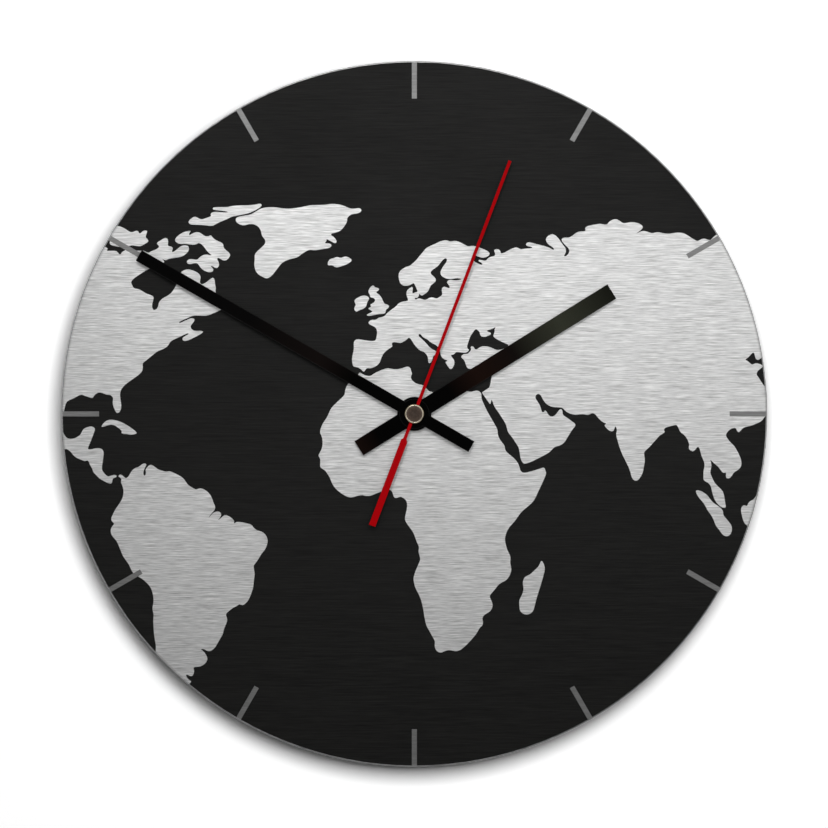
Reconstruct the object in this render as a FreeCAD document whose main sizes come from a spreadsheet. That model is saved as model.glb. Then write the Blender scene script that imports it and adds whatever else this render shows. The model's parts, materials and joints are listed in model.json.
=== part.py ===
"""World map wall clock: a printed metal dial, three hands and the quartz movement that drives them.

Each piece is modelled flat, as seen from the front: x to the right, y up and z forward from the wall.
Its placement then stands it up, so that in the finished clock X is right, Z is up and the dial faces -Y.
The origin is where the hands' axis meets the wall.
"""

import FreeCAD
import Part
import Sketcher
import math
import os

# Driving sizes in millimetres and degrees. Bearings turn anticlockwise from the x axis, hand angles
# clockwise from twelve o'clock.
SIZES = [
    ("dial_diameter", 300.0, "across the disc"),
    ("skin_thickness", 0.3, "metal skin on each face of the disc"),
    ("dial_core_thickness", 2.4, "plastic core between the skins"),
    ("print_thickness", 0.1, "ink on the dial"),
    ("print_inset", 0.55, "bare rim outside the print"),
    ("mark_length", 16.0, "hour bar, from the rim inwards"),
    ("mark_width", 2.15, "hour bar"),
    ("mark_count", 12, "hour bars"),
    ("bushing_diameter", 7.9, "threaded bushing over its thread"),
    ("thread_end", 0.5, "thread that stands out of the nut"),
    ("hole_clearance", 0.15, "around the bushing in what it clamps"),
    ("fit_gap", 0.02, "between pieces that are pressed together"),
    ("running_gap", 0.08, "around a pipe or arbor that turns in another"),
    ("pivot_gap", 0.05, "around a pivot in its plate"),
    ("rubber_diameter", 22.0, "washer behind the dial"),
    ("rubber_thickness", 1.0, "same washer"),
    ("washer_diameter", 13.0, "washer under the nut"),
    ("washer_thickness", 0.5, "same washer"),
    ("nut_flats", 11.0, "across the flats"),
    ("nut_thickness", 2.0, "height of the nut"),
    ("nut_bevel", 0.45, "bevel of the nut's front corners"),
    ("hanger_thickness", 1.0, "steel sheet"),
    ("hanger_width", 26.0, "bent strip"),
    ("hanger_foot", 12.0, "strip below the hands' axis"),
    ("hanger_case_gap", 0.6, "above the case"),
    ("hanger_wall_gap", 1.0, "behind the hanging tab"),
    ("hanger_tab", 20.0, "hanging tab above the case"),
    ("hanger_corner", 7.0, "rounding of the tab"),
    ("bend_radius", 0.5, "inside of each bend"),
    ("keyhole_diameter", 8.0, "round part, for the nail's head"),
    ("keyhole_slot", 4.0, "width of the slot, for the nail's shank"),
    ("keyhole_height", 8.0, "from the bend up to the round part"),
    ("keyhole_rise", 6.0, "from the round part up to the slot's end"),
    ("hour_hand_length", 98.6, "from the axis to the tip"),
    ("hour_hand_tail", 27.7, "from the axis to the tail's end"),
    ("hour_hand_width", 7.1, "blade"),
    ("hour_hub_diameter", 14.5, "disc at the axis"),
    ("hour_hand_angle", 58.2, "at rest"),
    ("minute_hand_length", 134.8, "from the axis to the tip"),
    ("minute_hand_tail", 27.9, "from the axis to the tail's end"),
    ("minute_hand_width", 5.15, "blade"),
    ("minute_hub_diameter", 12.8, "disc at the axis"),
    ("minute_hand_angle", 299.9, "at rest"),
    ("hand_thickness", 0.6, "hour and minute hands"),
    ("hand_bevel", 0.12, "front edges of the hands"),
    ("second_hand_length", 114.7, "from the axis to the tip"),
    ("second_hand_width", 1.4, "needle"),
    ("second_neck_length", 11.2, "from the axis back to the weight"),
    ("second_shoulder", 0.9, "slanting step from neck to weight"),
    ("second_tail_length", 50.7, "from the axis to the tail's end"),
    ("second_weight_width", 2.9, "weight"),
    ("second_hub_diameter", 6.0, "disc under the cap"),
    ("second_hand_thickness", 0.4, "second hand"),
    ("second_hand_angle", 20.7, "at rest"),
    ("collar_flange", 0.3, "thickness of a collar's flange behind its hand"),
    ("collar_rim", 1.3, "flange outside the collar's wall"),
    ("collar_wall", 0.5, "collar around its pipe"),
    ("bush_height", 0.6, "second hand's bush behind the hand"),
    ("hour_hand_gap", 0.3, "between the bushing and the hour hand's collar"),
    ("hand_gap", 1.2, "between the hour hand and the minute hand's collar"),
    ("second_hand_gap", 0.8, "between the minute hand and the second hand's bush"),
    ("cap_diameter", 8.3, "polished cap"),
    ("cap_flat_diameter", 6.6, "flat inside the cap's rim"),
    ("cap_height", 1.4, "cap"),
    ("case_width", 56.0, "movement case"),
    ("case_height", 56.0, "movement case"),
    ("case_depth", 16.0, "movement case"),
    ("case_corner", 2.0, "rounding of the case's upright corners"),
    ("front_wall", 1.0, "case wall behind the dial"),
    ("side_wall", 2.0, "case wall beside and above the works"),
    ("bay_wall", 1.0, "case wall around the battery, and the partition"),
    ("cover_thickness", 1.0, "back cover"),
    ("cover_lip", 1.0, "rebate that the back cover lies in"),
    ("cover_gap", 0.1, "around the back cover"),
    ("battery_diameter", 14.5, "over the sleeve"),
    ("battery_length", 50.5, "with the button"),
    ("battery_gap", 0.3, "around the battery in its bay"),
    ("sleeve_thickness", 0.15, "plastic sleeve of the battery"),
    ("button_diameter", 5.5, "raised contact of the battery"),
    ("button_height", 1.3, "raised contact of the battery"),
    ("contact_gap", 0.1, "between a contact and the battery"),
    ("strip_thickness", 0.3, "spring strip of the contacts"),
    ("strip_width", 4.0, "contact strips where they pass the partition"),
    ("contact_width", 8.0, "contact plates against the battery"),
    ("contact_spring", 1.1, "how far the negative contact is bowed"),
    ("slot_gap", 0.25, "around a strip in the partition"),
    ("wheel_thickness", 0.8, "toothed rims"),
    ("wheel_gap", 0.7, "from one wheel to the next behind it"),
    ("hour_wheel_gap", 0.5, "from the hour wheel to the case's front wall"),
    ("pinion_overlap", 0.2, "pinion beyond each face of its wheel"),
    ("arbor_diameter", 0.8, "plastic arbors"),
    ("pivot_depth", 0.6, "arbors in the front wall"),
    ("second_arbor_diameter", 1.0, "steel arbor of the second hand"),
    ("minute_tube_diameter", 3.2, "tube of the minute hand"),
    ("hour_pipe_diameter", 5.1, "pipe of the hour hand"),
    ("rotor_teeth", 8, "rotor pinion"),
    ("intermediate_teeth", 40, "intermediate wheel"),
    ("intermediate_pinion_teeth", 10, "its pinion"),
    ("second_teeth", 60, "second wheel"),
    ("second_pinion_teeth", 8, "its pinion"),
    ("third_teeth", 60, "third wheel"),
    ("third_pinion_teeth", 8, "its pinion"),
    ("centre_teeth", 64, "centre gear"),
    ("cannon_teeth", 12, "pinion on the minute arbor"),
    ("minute_teeth", 36, "minute wheel"),
    ("minute_pinion_teeth", 10, "its pinion"),
    ("hour_teeth", 40, "hour wheel"),
    ("setting_teeth", 12, "setting gear"),
    ("third_distance", 9.0, "hands' axis to third wheel"),
    ("third_bearing", 150.0, "hands' axis to third wheel"),
    ("minute_distance", 9.0, "hands' axis to minute wheel"),
    ("minute_bearing", 30.0, "hands' axis to minute wheel"),
    ("intermediate_distance", 9.2, "hands' axis to intermediate wheel"),
    ("intermediate_bearing", 90.0, "hands' axis to intermediate wheel"),
    ("rotor_distance", 6.0, "intermediate wheel to rotor"),
    ("rotor_bearing", 54.3, "intermediate wheel to rotor"),
    ("setting_distance", 9.0, "minute wheel to setting gear"),
    ("setting_bearing", -20.0, "minute wheel to setting gear"),
    ("magnet_diameter", 3.8, "rotor magnet"),
    ("magnet_length", 1.8, "rotor magnet"),
    ("magnet_gap", 0.3, "around the magnet in the stator, and behind it"),
    ("stator_thickness", 0.6, "soft iron plate"),
    ("stator_width", 34.0, "over both legs"),
    ("stator_bar", 5.8, "bar that the rotor turns in"),
    ("stator_leg", 5.0, "width of each leg"),
    ("stator_height", 13.4, "from the bar's lower edge to the legs' ends"),
    ("coil_height", 22.5, "coil above the hands' axis"),
    ("coil_core_width", 3.0, "iron core through the coil"),
    ("coil_core_length", 33.0, "iron core through the coil"),
    ("bobbin_length", 21.0, "coil bobbin"),
    ("bobbin_diameter", 4.4, "bobbin's tube"),
    ("bobbin_flange_diameter", 6.6, "bobbin's flanges"),
    ("bobbin_flange", 0.8, "bobbin's flanges"),
    ("core_gap", 0.15, "around the core in the bobbin"),
    ("winding_diameter", 6.2, "copper winding"),
    ("bridge_thickness", 0.8, "train bridge"),
    ("bridge_width", 38.0, "train bridge"),
    ("bridge_top", 17.8, "bridge above the hands' axis"),
    ("bridge_bottom", 10.0, "bridge below the hands' axis"),
    ("bridge_corner", 2.5, "rounding of the bridge"),
    ("post_diameter", 4.8, "posts in front of the stator"),
    ("post_tip_diameter", 3.2, "posts behind the stator's front"),
    ("post_side", 14.5, "posts beside the hands' axis"),
    ("post_top", 14.5, "upper posts above the axis"),
    ("post_bottom", 6.8, "lower posts below the axis"),
    ("screw_diameter", 1.6, "bridge screws"),
    ("screw_length", 5.0, "bridge screws under the head"),
    ("screw_head_diameter", 3.0, "bridge screws"),
    ("screw_head_height", 1.0, "bridge screws"),
    ("screw_slot", 0.5, "width and depth of the screwdriver slot"),
    ("board_width", 8.0, "circuit board"),
    ("board_height", 34.0, "circuit board"),
    ("board_thickness", 1.0, "circuit board"),
    ("board_gap", 0.1, "from the board to the front wall"),
    ("board_side_gap", 0.4, "from the board to the side wall and partition"),
    ("crystal_diameter", 2.0, "quartz crystal's can"),
    ("crystal_length", 6.0, "quartz crystal's can"),
    ("crystal_height", 8.0, "can's lower end above the board's lower edge"),
    ("chip_diameter", 5.2, "covered clock chip"),
    ("chip_thickness", 1.0, "covered clock chip"),
    ("chip_height", 20.0, "chip above the board's lower edge"),
    ("knob_diameter", 12.0, "setting knob"),
    ("knob_height", 3.0, "setting knob"),
    ("knob_wall_gap", 0.3, "from the wall to the knob"),
    ("knob_gap", 0.4, "around the knob in the cover"),
    ("knob_bevel", 0.4, "edges of the knob"),
    ("knurl_count", 30, "grooves around the knob"),
    ("knurl_diameter", 0.7, "each groove"),
    ("stem_diameter", 2.0, "stem of the knob"),
    ("stem_gap", 0.25, "around the stem in the bridge"),
    ("cut_overrun", 1.0, "how far a cut runs past what it cuts"),
]

# The tooth of every wheel: how far it stands above and below the pitch circle, as shares of the module,
# and how wide it is at the root, at the pitch circle and at the tip, as shares of the pitch.
TOOTH_ABOVE_SHARE = 0.85
TOOTH_BELOW_SHARE = 1.15
TOOTH_ROOT_SHARE = 0.48
TOOTH_PITCH_SHARE = 0.43
TOOTH_TIP_SHARE = 0.20

# Profile of the covered chip, as shares of its radius and its height
CHIP_PROFILE_SHARES = ((0.0, 0.0), (1.0, 0.0), (0.85, 0.5), (0.5, 0.85), (0.0, 1.0))

# Coasts, each a closed line along points in shares of the dial's radius from its centre, placed by hand.
# A coast that meets the rim runs on outside it.
LAND_SHARES = {
    "north_america": (
        (-0.880, 0.473), (-0.874, 0.473), (-0.868, 0.468), (-0.872, 0.462), (-0.864, 0.462), (-0.847, 0.463),
        (-0.841, 0.459), (-0.836, 0.452), (-0.832, 0.452), (-0.829, 0.458), (-0.823, 0.462), (-0.817, 0.465),
        (-0.805, 0.465), (-0.792, 0.463), (-0.779, 0.462), (-0.768, 0.463), (-0.759, 0.459), (-0.753, 0.456),
        (-0.744, 0.462), (-0.733, 0.465), (-0.723, 0.472), (-0.724, 0.477), (-0.730, 0.482), (-0.727, 0.487),
        (-0.718, 0.492), (-0.708, 0.499), (-0.700, 0.498), (-0.697, 0.490), (-0.699, 0.477), (-0.694, 0.475),
        (-0.686, 0.473), (-0.684, 0.468), (-0.688, 0.459), (-0.682, 0.459), (-0.674, 0.465), (-0.664, 0.474),
        (-0.654, 0.478), (-0.642, 0.477), (-0.638, 0.470), (-0.640, 0.461), (-0.647, 0.453), (-0.659, 0.445),
        (-0.680, 0.442), (-0.695, 0.440), (-0.704, 0.435), (-0.710, 0.437), (-0.715, 0.440), (-0.708, 0.432),
        (-0.711, 0.426), (-0.719, 0.422), (-0.726, 0.421), (-0.738, 0.418), (-0.752, 0.411), (-0.766, 0.403),
        (-0.772, 0.399), (-0.785, 0.391), (-0.797, 0.382), (-0.803, 0.374), (-0.800, 0.365), (-0.794, 0.355),
        (-0.781, 0.354), (-0.769, 0.347), (-0.758, 0.340), (-0.744, 0.336), (-0.738, 0.331), (-0.740, 0.321),
        (-0.743, 0.311), (-0.743, 0.302), (-0.740, 0.295), (-0.736, 0.294), (-0.730, 0.297), (-0.726, 0.304),
        (-0.725, 0.311), (-0.722, 0.319), (-0.714, 0.327), (-0.706, 0.331), (-0.691, 0.340), (-0.683, 0.350),
        (-0.677, 0.360), (-0.672, 0.370), (-0.669, 0.380), (-0.667, 0.390), (-0.664, 0.396), (-0.660, 0.403),
        (-0.651, 0.408), (-0.641, 0.410), (-0.628, 0.407), (-0.615, 0.401), (-0.608, 0.395), (-0.605, 0.386),
        (-0.608, 0.375), (-0.606, 0.369), (-0.601, 0.367), (-0.592, 0.371), (-0.583, 0.378), (-0.573, 0.386),
        (-0.568, 0.385), (-0.565, 0.378), (-0.565, 0.368), (-0.562, 0.358), (-0.564, 0.347), (-0.560, 0.337),
        (-0.556, 0.330), (-0.551, 0.327), (-0.545, 0.326), (-0.537, 0.323), (-0.533, 0.317), (-0.531, 0.311),
        (-0.534, 0.304), (-0.542, 0.298), (-0.553, 0.292), (-0.563, 0.288), (-0.572, 0.284), (-0.582, 0.280),
        (-0.592, 0.278), (-0.603, 0.278), (-0.618, 0.279), (-0.628, 0.278), (-0.637, 0.274), (-0.649, 0.269),
        (-0.659, 0.264), (-0.668, 0.260), (-0.665, 0.257), (-0.656, 0.261), (-0.646, 0.266), (-0.637, 0.270),
        (-0.629, 0.271), (-0.623, 0.269), (-0.623, 0.264), (-0.627, 0.258), (-0.633, 0.251), (-0.634, 0.246),
        (-0.631, 0.240), (-0.625, 0.236), (-0.618, 0.235), (-0.606, 0.236), (-0.599, 0.234), (-0.600, 0.230),
        (-0.606, 0.226), (-0.618, 0.219), (-0.631, 0.213), (-0.642, 0.208), (-0.651, 0.206), (-0.657, 0.209),
        (-0.657, 0.215), (-0.651, 0.220), (-0.639, 0.226), (-0.641, 0.229), (-0.651, 0.225), (-0.661, 0.220),
        (-0.674, 0.214), (-0.687, 0.208), (-0.693, 0.203), (-0.696, 0.196), (-0.701, 0.190), (-0.711, 0.184),
        (-0.724, 0.179), (-0.733, 0.174), (-0.739, 0.168), (-0.750, 0.160), (-0.760, 0.151), (-0.768, 0.146),
        (-0.770, 0.140), (-0.769, 0.131), (-0.771, 0.121), (-0.778, 0.113), (-0.791, 0.103), (-0.806, 0.093),
        (-0.822, 0.081), (-0.831, 0.069), (-0.834, 0.057), (-0.833, 0.042), (-0.830, 0.027), (-0.831, 0.014),
        (-0.835, 0.005), (-0.840, 0.002), (-0.845, 0.004), (-0.849, 0.012), (-0.853, 0.022), (-0.855, 0.032),
        (-0.853, 0.043), (-0.856, 0.050), (-0.862, 0.054), (-0.871, 0.054), (-0.878, 0.057), (-0.886, 0.060),
        (-0.893, 0.061), (-0.901, 0.058), (-0.908, 0.051), (-0.911, 0.045), (-0.915, 0.045), (-0.924, 0.048),
        (-0.933, 0.051), (-0.940, 0.054), (-0.947, 0.054), (-0.955, 0.050), (-0.963, 0.045), (-0.973, 0.041),
        (-0.982, 0.037), (-0.987, 0.031), (-0.990, 0.020), (-0.992, 0.011), (-0.994, 0.002),
        (-0.999, -0.006), (-1.030, -0.015), (-1.080, 0.050), (-1.100, 0.200), (-1.080, 0.350),
        (-0.980, 0.470), (-0.895, 0.473),
    ),
    "victoria_island": (
        (-0.844, 0.533), (-0.836, 0.532), (-0.823, 0.527), (-0.813, 0.520), (-0.805, 0.515), (-0.797, 0.515),
        (-0.790, 0.519), (-0.783, 0.519), (-0.780, 0.512), (-0.776, 0.511), (-0.771, 0.517), (-0.764, 0.520),
        (-0.756, 0.519), (-0.759, 0.510), (-0.762, 0.501), (-0.755, 0.494), (-0.753, 0.488), (-0.761, 0.483),
        (-0.771, 0.477), (-0.778, 0.475), (-0.790, 0.476), (-0.800, 0.478), (-0.810, 0.475), (-0.823, 0.472),
        (-0.836, 0.474), (-0.846, 0.475), (-0.856, 0.477), (-0.863, 0.481), (-0.863, 0.488), (-0.861, 0.493),
        (-0.869, 0.497), (-0.890, 0.500), (-0.940, 0.530), (-0.900, 0.570), (-0.860, 0.545),
    ),
    "baffin_island": (
        (-0.679, 0.491), (-0.675, 0.500), (-0.666, 0.508), (-0.656, 0.514), (-0.645, 0.518), (-0.632, 0.519),
        (-0.638, 0.512), (-0.638, 0.505), (-0.631, 0.510), (-0.621, 0.515), (-0.610, 0.515), (-0.602, 0.510),
        (-0.592, 0.503), (-0.583, 0.503), (-0.576, 0.507), (-0.571, 0.499), (-0.562, 0.492), (-0.549, 0.487),
        (-0.541, 0.481), (-0.541, 0.472), (-0.535, 0.465), (-0.526, 0.458), (-0.521, 0.451), (-0.525, 0.442),
        (-0.533, 0.435), (-0.541, 0.434), (-0.550, 0.440), (-0.557, 0.443), (-0.559, 0.438), (-0.554, 0.430),
        (-0.553, 0.420), (-0.558, 0.413), (-0.565, 0.414), (-0.572, 0.419), (-0.578, 0.419), (-0.571, 0.413),
        (-0.569, 0.407), (-0.573, 0.402), (-0.582, 0.401), (-0.594, 0.405), (-0.604, 0.412), (-0.610, 0.421),
        (-0.615, 0.427), (-0.625, 0.427), (-0.634, 0.424), (-0.643, 0.426), (-0.645, 0.432), (-0.640, 0.438),
        (-0.630, 0.439), (-0.615, 0.436), (-0.609, 0.443), (-0.601, 0.449), (-0.591, 0.452), (-0.581, 0.450),
        (-0.573, 0.449), (-0.581, 0.455), (-0.589, 0.463), (-0.596, 0.474), (-0.603, 0.481), (-0.611, 0.485),
        (-0.619, 0.480), (-0.628, 0.479), (-0.640, 0.481), (-0.651, 0.482), (-0.661, 0.481), (-0.672, 0.484),
    ),
    "ellesmere_island": (
        (-0.640, 0.542), (-0.639, 0.547), (-0.632, 0.554), (-0.624, 0.559), (-0.617, 0.558), (-0.610, 0.553),
        (-0.601, 0.551), (-0.587, 0.556), (-0.575, 0.560), (-0.578, 0.567), (-0.571, 0.572), (-0.558, 0.573),
        (-0.537, 0.570), (-0.526, 0.572), (-0.537, 0.575), (-0.560, 0.577), (-0.571, 0.579), (-0.571, 0.584),
        (-0.565, 0.586), (-0.545, 0.586), (-0.530, 0.586), (-0.522, 0.588), (-0.506, 0.591), (-0.480, 0.591),
        (-0.460, 0.592), (-0.447, 0.594), (-0.437, 0.596), (-0.432, 0.593), (-0.434, 0.587), (-0.445, 0.580),
        (-0.458, 0.573), (-0.471, 0.568), (-0.491, 0.564), (-0.506, 0.561), (-0.517, 0.559), (-0.524, 0.555),
        (-0.537, 0.549), (-0.553, 0.543), (-0.563, 0.537), (-0.573, 0.532), (-0.590, 0.534), (-0.611, 0.536),
        (-0.625, 0.536), (-0.635, 0.537),
    ),
    "greenland": (
        (-0.418, 0.383), (-0.428, 0.387), (-0.444, 0.396), (-0.452, 0.410), (-0.454, 0.425), (-0.452, 0.438),
        (-0.453, 0.448), (-0.449, 0.457), (-0.437, 0.468), (-0.422, 0.482), (-0.422, 0.493), (-0.432, 0.504),
        (-0.434, 0.517), (-0.440, 0.529), (-0.450, 0.536), (-0.465, 0.539), (-0.484, 0.533), (-0.502, 0.540),
        (-0.507, 0.549), (-0.504, 0.557), (-0.489, 0.561), (-0.465, 0.564), (-0.449, 0.573), (-0.436, 0.582),
        (-0.415, 0.586), (-0.394, 0.586), (-0.372, 0.582), (-0.352, 0.581), (-0.318, 0.586), (-0.296, 0.592),
        (-0.256, 0.592), (-0.231, 0.596), (-0.204, 0.592), (-0.186, 0.583), (-0.172, 0.581), (-0.155, 0.584),
        (-0.148, 0.576), (-0.158, 0.568), (-0.180, 0.566), (-0.191, 0.555), (-0.190, 0.545), (-0.199, 0.530),
        (-0.212, 0.516), (-0.241, 0.510), (-0.226, 0.500), (-0.219, 0.489), (-0.223, 0.483), (-0.235, 0.488),
        (-0.250, 0.497), (-0.248, 0.490), (-0.256, 0.483), (-0.240, 0.484), (-0.233, 0.477), (-0.240, 0.470),
        (-0.262, 0.467), (-0.282, 0.463), (-0.298, 0.466), (-0.318, 0.454), (-0.331, 0.443), (-0.352, 0.439),
        (-0.374, 0.430), (-0.388, 0.412), (-0.399, 0.397), (-0.408, 0.388),
    ),
    "iceland": (
        (-0.246, 0.428), (-0.240, 0.439), (-0.228, 0.441), (-0.219, 0.446), (-0.209, 0.441), (-0.196, 0.447),
        (-0.184, 0.443), (-0.175, 0.435), (-0.190, 0.424), (-0.207, 0.418), (-0.222, 0.414), (-0.233, 0.422),
        (-0.245, 0.420),
    ),
    "mexico": (
        (-1.005, -0.045), (-0.995, -0.050), (-0.992, -0.059), (-0.986, -0.067), (-0.977, -0.071),
        (-0.965, -0.070), (-0.954, -0.065), (-0.946, -0.059), (-0.942, -0.050), (-0.937, -0.042),
        (-0.928, -0.038), (-0.917, -0.035), (-0.909, -0.037), (-0.904, -0.043), (-0.908, -0.054),
        (-0.913, -0.068), (-0.919, -0.083), (-0.927, -0.101), (-0.912, -0.100), (-0.904, -0.097),
        (-0.891, -0.097), (-0.883, -0.101), (-0.880, -0.109), (-0.881, -0.124), (-0.884, -0.140),
        (-0.886, -0.157), (-0.880, -0.167), (-0.869, -0.178), (-0.860, -0.175), (-0.850, -0.172),
        (-0.843, -0.175), (-0.845, -0.180), (-0.853, -0.182), (-0.856, -0.188), (-0.856, -0.195),
        (-0.861, -0.198), (-0.871, -0.195), (-0.883, -0.188), (-0.891, -0.184), (-0.901, -0.174),
        (-0.910, -0.165), (-0.912, -0.156), (-0.919, -0.145), (-0.924, -0.131), (-0.933, -0.134),
        (-0.945, -0.130), (-0.960, -0.123), (-0.968, -0.115), (-0.972, -0.109), (-0.980, -0.102),
        (-0.986, -0.099), (-0.993, -0.101), (-1.020, -0.115), (-1.060, -0.080), (-1.030, -0.045),
    ),
    "cuba": (
        (-0.888, -0.037), (-0.881, -0.026), (-0.871, -0.018), (-0.859, -0.016), (-0.845, -0.018),
        (-0.830, -0.023), (-0.817, -0.030), (-0.804, -0.038), (-0.791, -0.048), (-0.785, -0.055),
        (-0.794, -0.058), (-0.804, -0.059), (-0.814, -0.057), (-0.831, -0.056), (-0.828, -0.048),
        (-0.837, -0.041), (-0.847, -0.033), (-0.859, -0.030), (-0.871, -0.033), (-0.880, -0.036),
    ),
    "south_america": (
        (-0.839, -0.176), (-0.834, -0.171), (-0.827, -0.174), (-0.818, -0.183), (-0.811, -0.179),
        (-0.806, -0.170), (-0.800, -0.160), (-0.791, -0.153), (-0.780, -0.150), (-0.773, -0.143),
        (-0.765, -0.140), (-0.758, -0.142), (-0.763, -0.152), (-0.767, -0.161), (-0.768, -0.169),
        (-0.766, -0.175), (-0.762, -0.174), (-0.760, -0.166), (-0.762, -0.158), (-0.758, -0.152),
        (-0.750, -0.144), (-0.742, -0.145), (-0.732, -0.152), (-0.727, -0.157), (-0.714, -0.161),
        (-0.704, -0.164), (-0.692, -0.162), (-0.677, -0.169), (-0.661, -0.177), (-0.651, -0.186),
        (-0.643, -0.200), (-0.631, -0.208), (-0.619, -0.215), (-0.611, -0.211), (-0.601, -0.211),
        (-0.590, -0.217), (-0.580, -0.226), (-0.573, -0.239), (-0.569, -0.252), (-0.564, -0.262),
        (-0.565, -0.271), (-0.571, -0.278), (-0.578, -0.286), (-0.584, -0.295), (-0.579, -0.290),
        (-0.572, -0.282), (-0.564, -0.277), (-0.554, -0.276), (-0.548, -0.281), (-0.547, -0.287),
        (-0.551, -0.295), (-0.558, -0.302), (-0.550, -0.297), (-0.543, -0.290), (-0.536, -0.286),
        (-0.526, -0.289), (-0.515, -0.297), (-0.510, -0.304), (-0.512, -0.312), (-0.504, -0.306),
        (-0.495, -0.306), (-0.482, -0.308), (-0.469, -0.311), (-0.461, -0.314), (-0.455, -0.323),
        (-0.446, -0.330), (-0.433, -0.333), (-0.423, -0.340), (-0.417, -0.350), (-0.415, -0.362),
        (-0.419, -0.376), (-0.424, -0.386), (-0.433, -0.396), (-0.441, -0.410), (-0.449, -0.422),
        (-0.456, -0.430), (-0.454, -0.442), (-0.452, -0.455), (-0.455, -0.473), (-0.456, -0.489),
        (-0.460, -0.504), (-0.467, -0.522), (-0.474, -0.533), (-0.484, -0.542), (-0.490, -0.541),
        (-0.496, -0.539), (-0.504, -0.545), (-0.515, -0.550), (-0.526, -0.559), (-0.535, -0.567),
        (-0.530, -0.580), (-0.531, -0.590), (-0.536, -0.601), (-0.540, -0.611), (-0.542, -0.623),
        (-0.549, -0.635), (-0.556, -0.647), (-0.563, -0.660), (-0.572, -0.669), (-0.581, -0.673),
        (-0.590, -0.670), (-0.597, -0.666), (-0.606, -0.666), (-0.597, -0.673), (-0.590, -0.682),
        (-0.585, -0.694), (-0.591, -0.706), (-0.600, -0.713), (-0.612, -0.717), (-0.627, -0.717),
        (-0.623, -0.729), (-0.627, -0.741), (-0.633, -0.744), (-0.640, -0.740), (-0.647, -0.738),
        (-0.646, -0.745), (-0.639, -0.753), (-0.631, -0.758), (-0.637, -0.764), (-0.641, -0.775),
        (-0.680, -0.820), (-0.780, -0.800), (-0.760, -0.710), (-0.733, -0.678), (-0.732, -0.658),
        (-0.735, -0.640), (-0.738, -0.622), (-0.739, -0.601), (-0.740, -0.581), (-0.738, -0.568),
        (-0.743, -0.553), (-0.739, -0.535), (-0.739, -0.520), (-0.742, -0.506), (-0.745, -0.496),
        (-0.751, -0.486), (-0.760, -0.477), (-0.770, -0.468), (-0.782, -0.461), (-0.792, -0.455),
        (-0.799, -0.448), (-0.804, -0.438), (-0.810, -0.424), (-0.819, -0.413), (-0.826, -0.402),
        (-0.832, -0.387), (-0.838, -0.372), (-0.844, -0.359), (-0.853, -0.350), (-0.859, -0.341),
        (-0.861, -0.329), (-0.857, -0.319), (-0.849, -0.311), (-0.858, -0.304), (-0.859, -0.295),
        (-0.854, -0.284), (-0.847, -0.270), (-0.837, -0.256), (-0.828, -0.242), (-0.824, -0.227),
        (-0.824, -0.214), (-0.828, -0.201), (-0.832, -0.193), (-0.829, -0.185), (-0.835, -0.180),
    ),
    "ireland": (
        (-0.170, 0.321), (-0.166, 0.326), (-0.156, 0.332), (-0.143, 0.337), (-0.132, 0.333), (-0.127, 0.327),
        (-0.133, 0.318), (-0.135, 0.310), (-0.137, 0.303), (-0.146, 0.297), (-0.156, 0.294), (-0.164, 0.289),
        (-0.169, 0.293), (-0.171, 0.300), (-0.165, 0.309), (-0.169, 0.315),
    ),
    "britain": (
        (-0.116, 0.365), (-0.123, 0.361), (-0.128, 0.354), (-0.131, 0.346), (-0.126, 0.338), (-0.125, 0.330),
        (-0.116, 0.329), (-0.110, 0.323), (-0.115, 0.315), (-0.126, 0.310), (-0.121, 0.304), (-0.132, 0.299),
        (-0.126, 0.295), (-0.117, 0.290), (-0.128, 0.285), (-0.137, 0.280), (-0.129, 0.277), (-0.115, 0.280),
        (-0.100, 0.283), (-0.083, 0.284), (-0.081, 0.290), (-0.081, 0.295), (-0.074, 0.300), (-0.071, 0.305),
        (-0.076, 0.310), (-0.085, 0.312), (-0.088, 0.318), (-0.092, 0.328), (-0.098, 0.337), (-0.110, 0.345),
        (-0.102, 0.349), (-0.099, 0.354), (-0.106, 0.358), (-0.112, 0.359),
    ),
    "eurasia": (
        (-0.172, 0.204), (-0.167, 0.210), (-0.160, 0.212), (-0.146, 0.210), (-0.130, 0.207), (-0.117, 0.206),
        (-0.109, 0.209), (-0.107, 0.218), (-0.105, 0.231), (-0.107, 0.240), (-0.111, 0.246), (-0.120, 0.250),
        (-0.129, 0.255), (-0.130, 0.260), (-0.124, 0.266), (-0.117, 0.267), (-0.110, 0.266), (-0.101, 0.273),
        (-0.092, 0.274), (-0.083, 0.278), (-0.079, 0.284), (-0.070, 0.292), (-0.061, 0.298), (-0.053, 0.304),
        (-0.046, 0.312), (-0.038, 0.317), (-0.028, 0.319), (-0.018, 0.320), (-0.018, 0.326), (-0.021, 0.332),
        (-0.023, 0.342), (-0.020, 0.351), (-0.013, 0.357), (-0.005, 0.361), (-0.004, 0.353), (-0.006, 0.345),
        (-0.004, 0.341), (0.001, 0.344), (0.010, 0.346), (0.007, 0.353), (0.003, 0.363), (-0.002, 0.372),
        (-0.009, 0.366), (-0.020, 0.363), (-0.031, 0.363), (-0.040, 0.369), (-0.044, 0.382), (-0.045, 0.395),
        (-0.041, 0.405), (-0.032, 0.412), (-0.023, 0.417), (-0.015, 0.418), (-0.005, 0.426), (0.005, 0.435),
        (0.014, 0.447), (0.024, 0.458), (0.033, 0.470), (0.045, 0.476), (0.059, 0.482), (0.073, 0.489),
        (0.088, 0.493), (0.102, 0.488), (0.114, 0.491), (0.126, 0.488), (0.140, 0.481), (0.153, 0.474),
        (0.164, 0.477), (0.177, 0.474), (0.192, 0.469), (0.205, 0.463), (0.214, 0.456), (0.212, 0.449),
        (0.204, 0.444), (0.192, 0.442), (0.180, 0.446), (0.168, 0.451), (0.163, 0.447), (0.165, 0.438),
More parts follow.
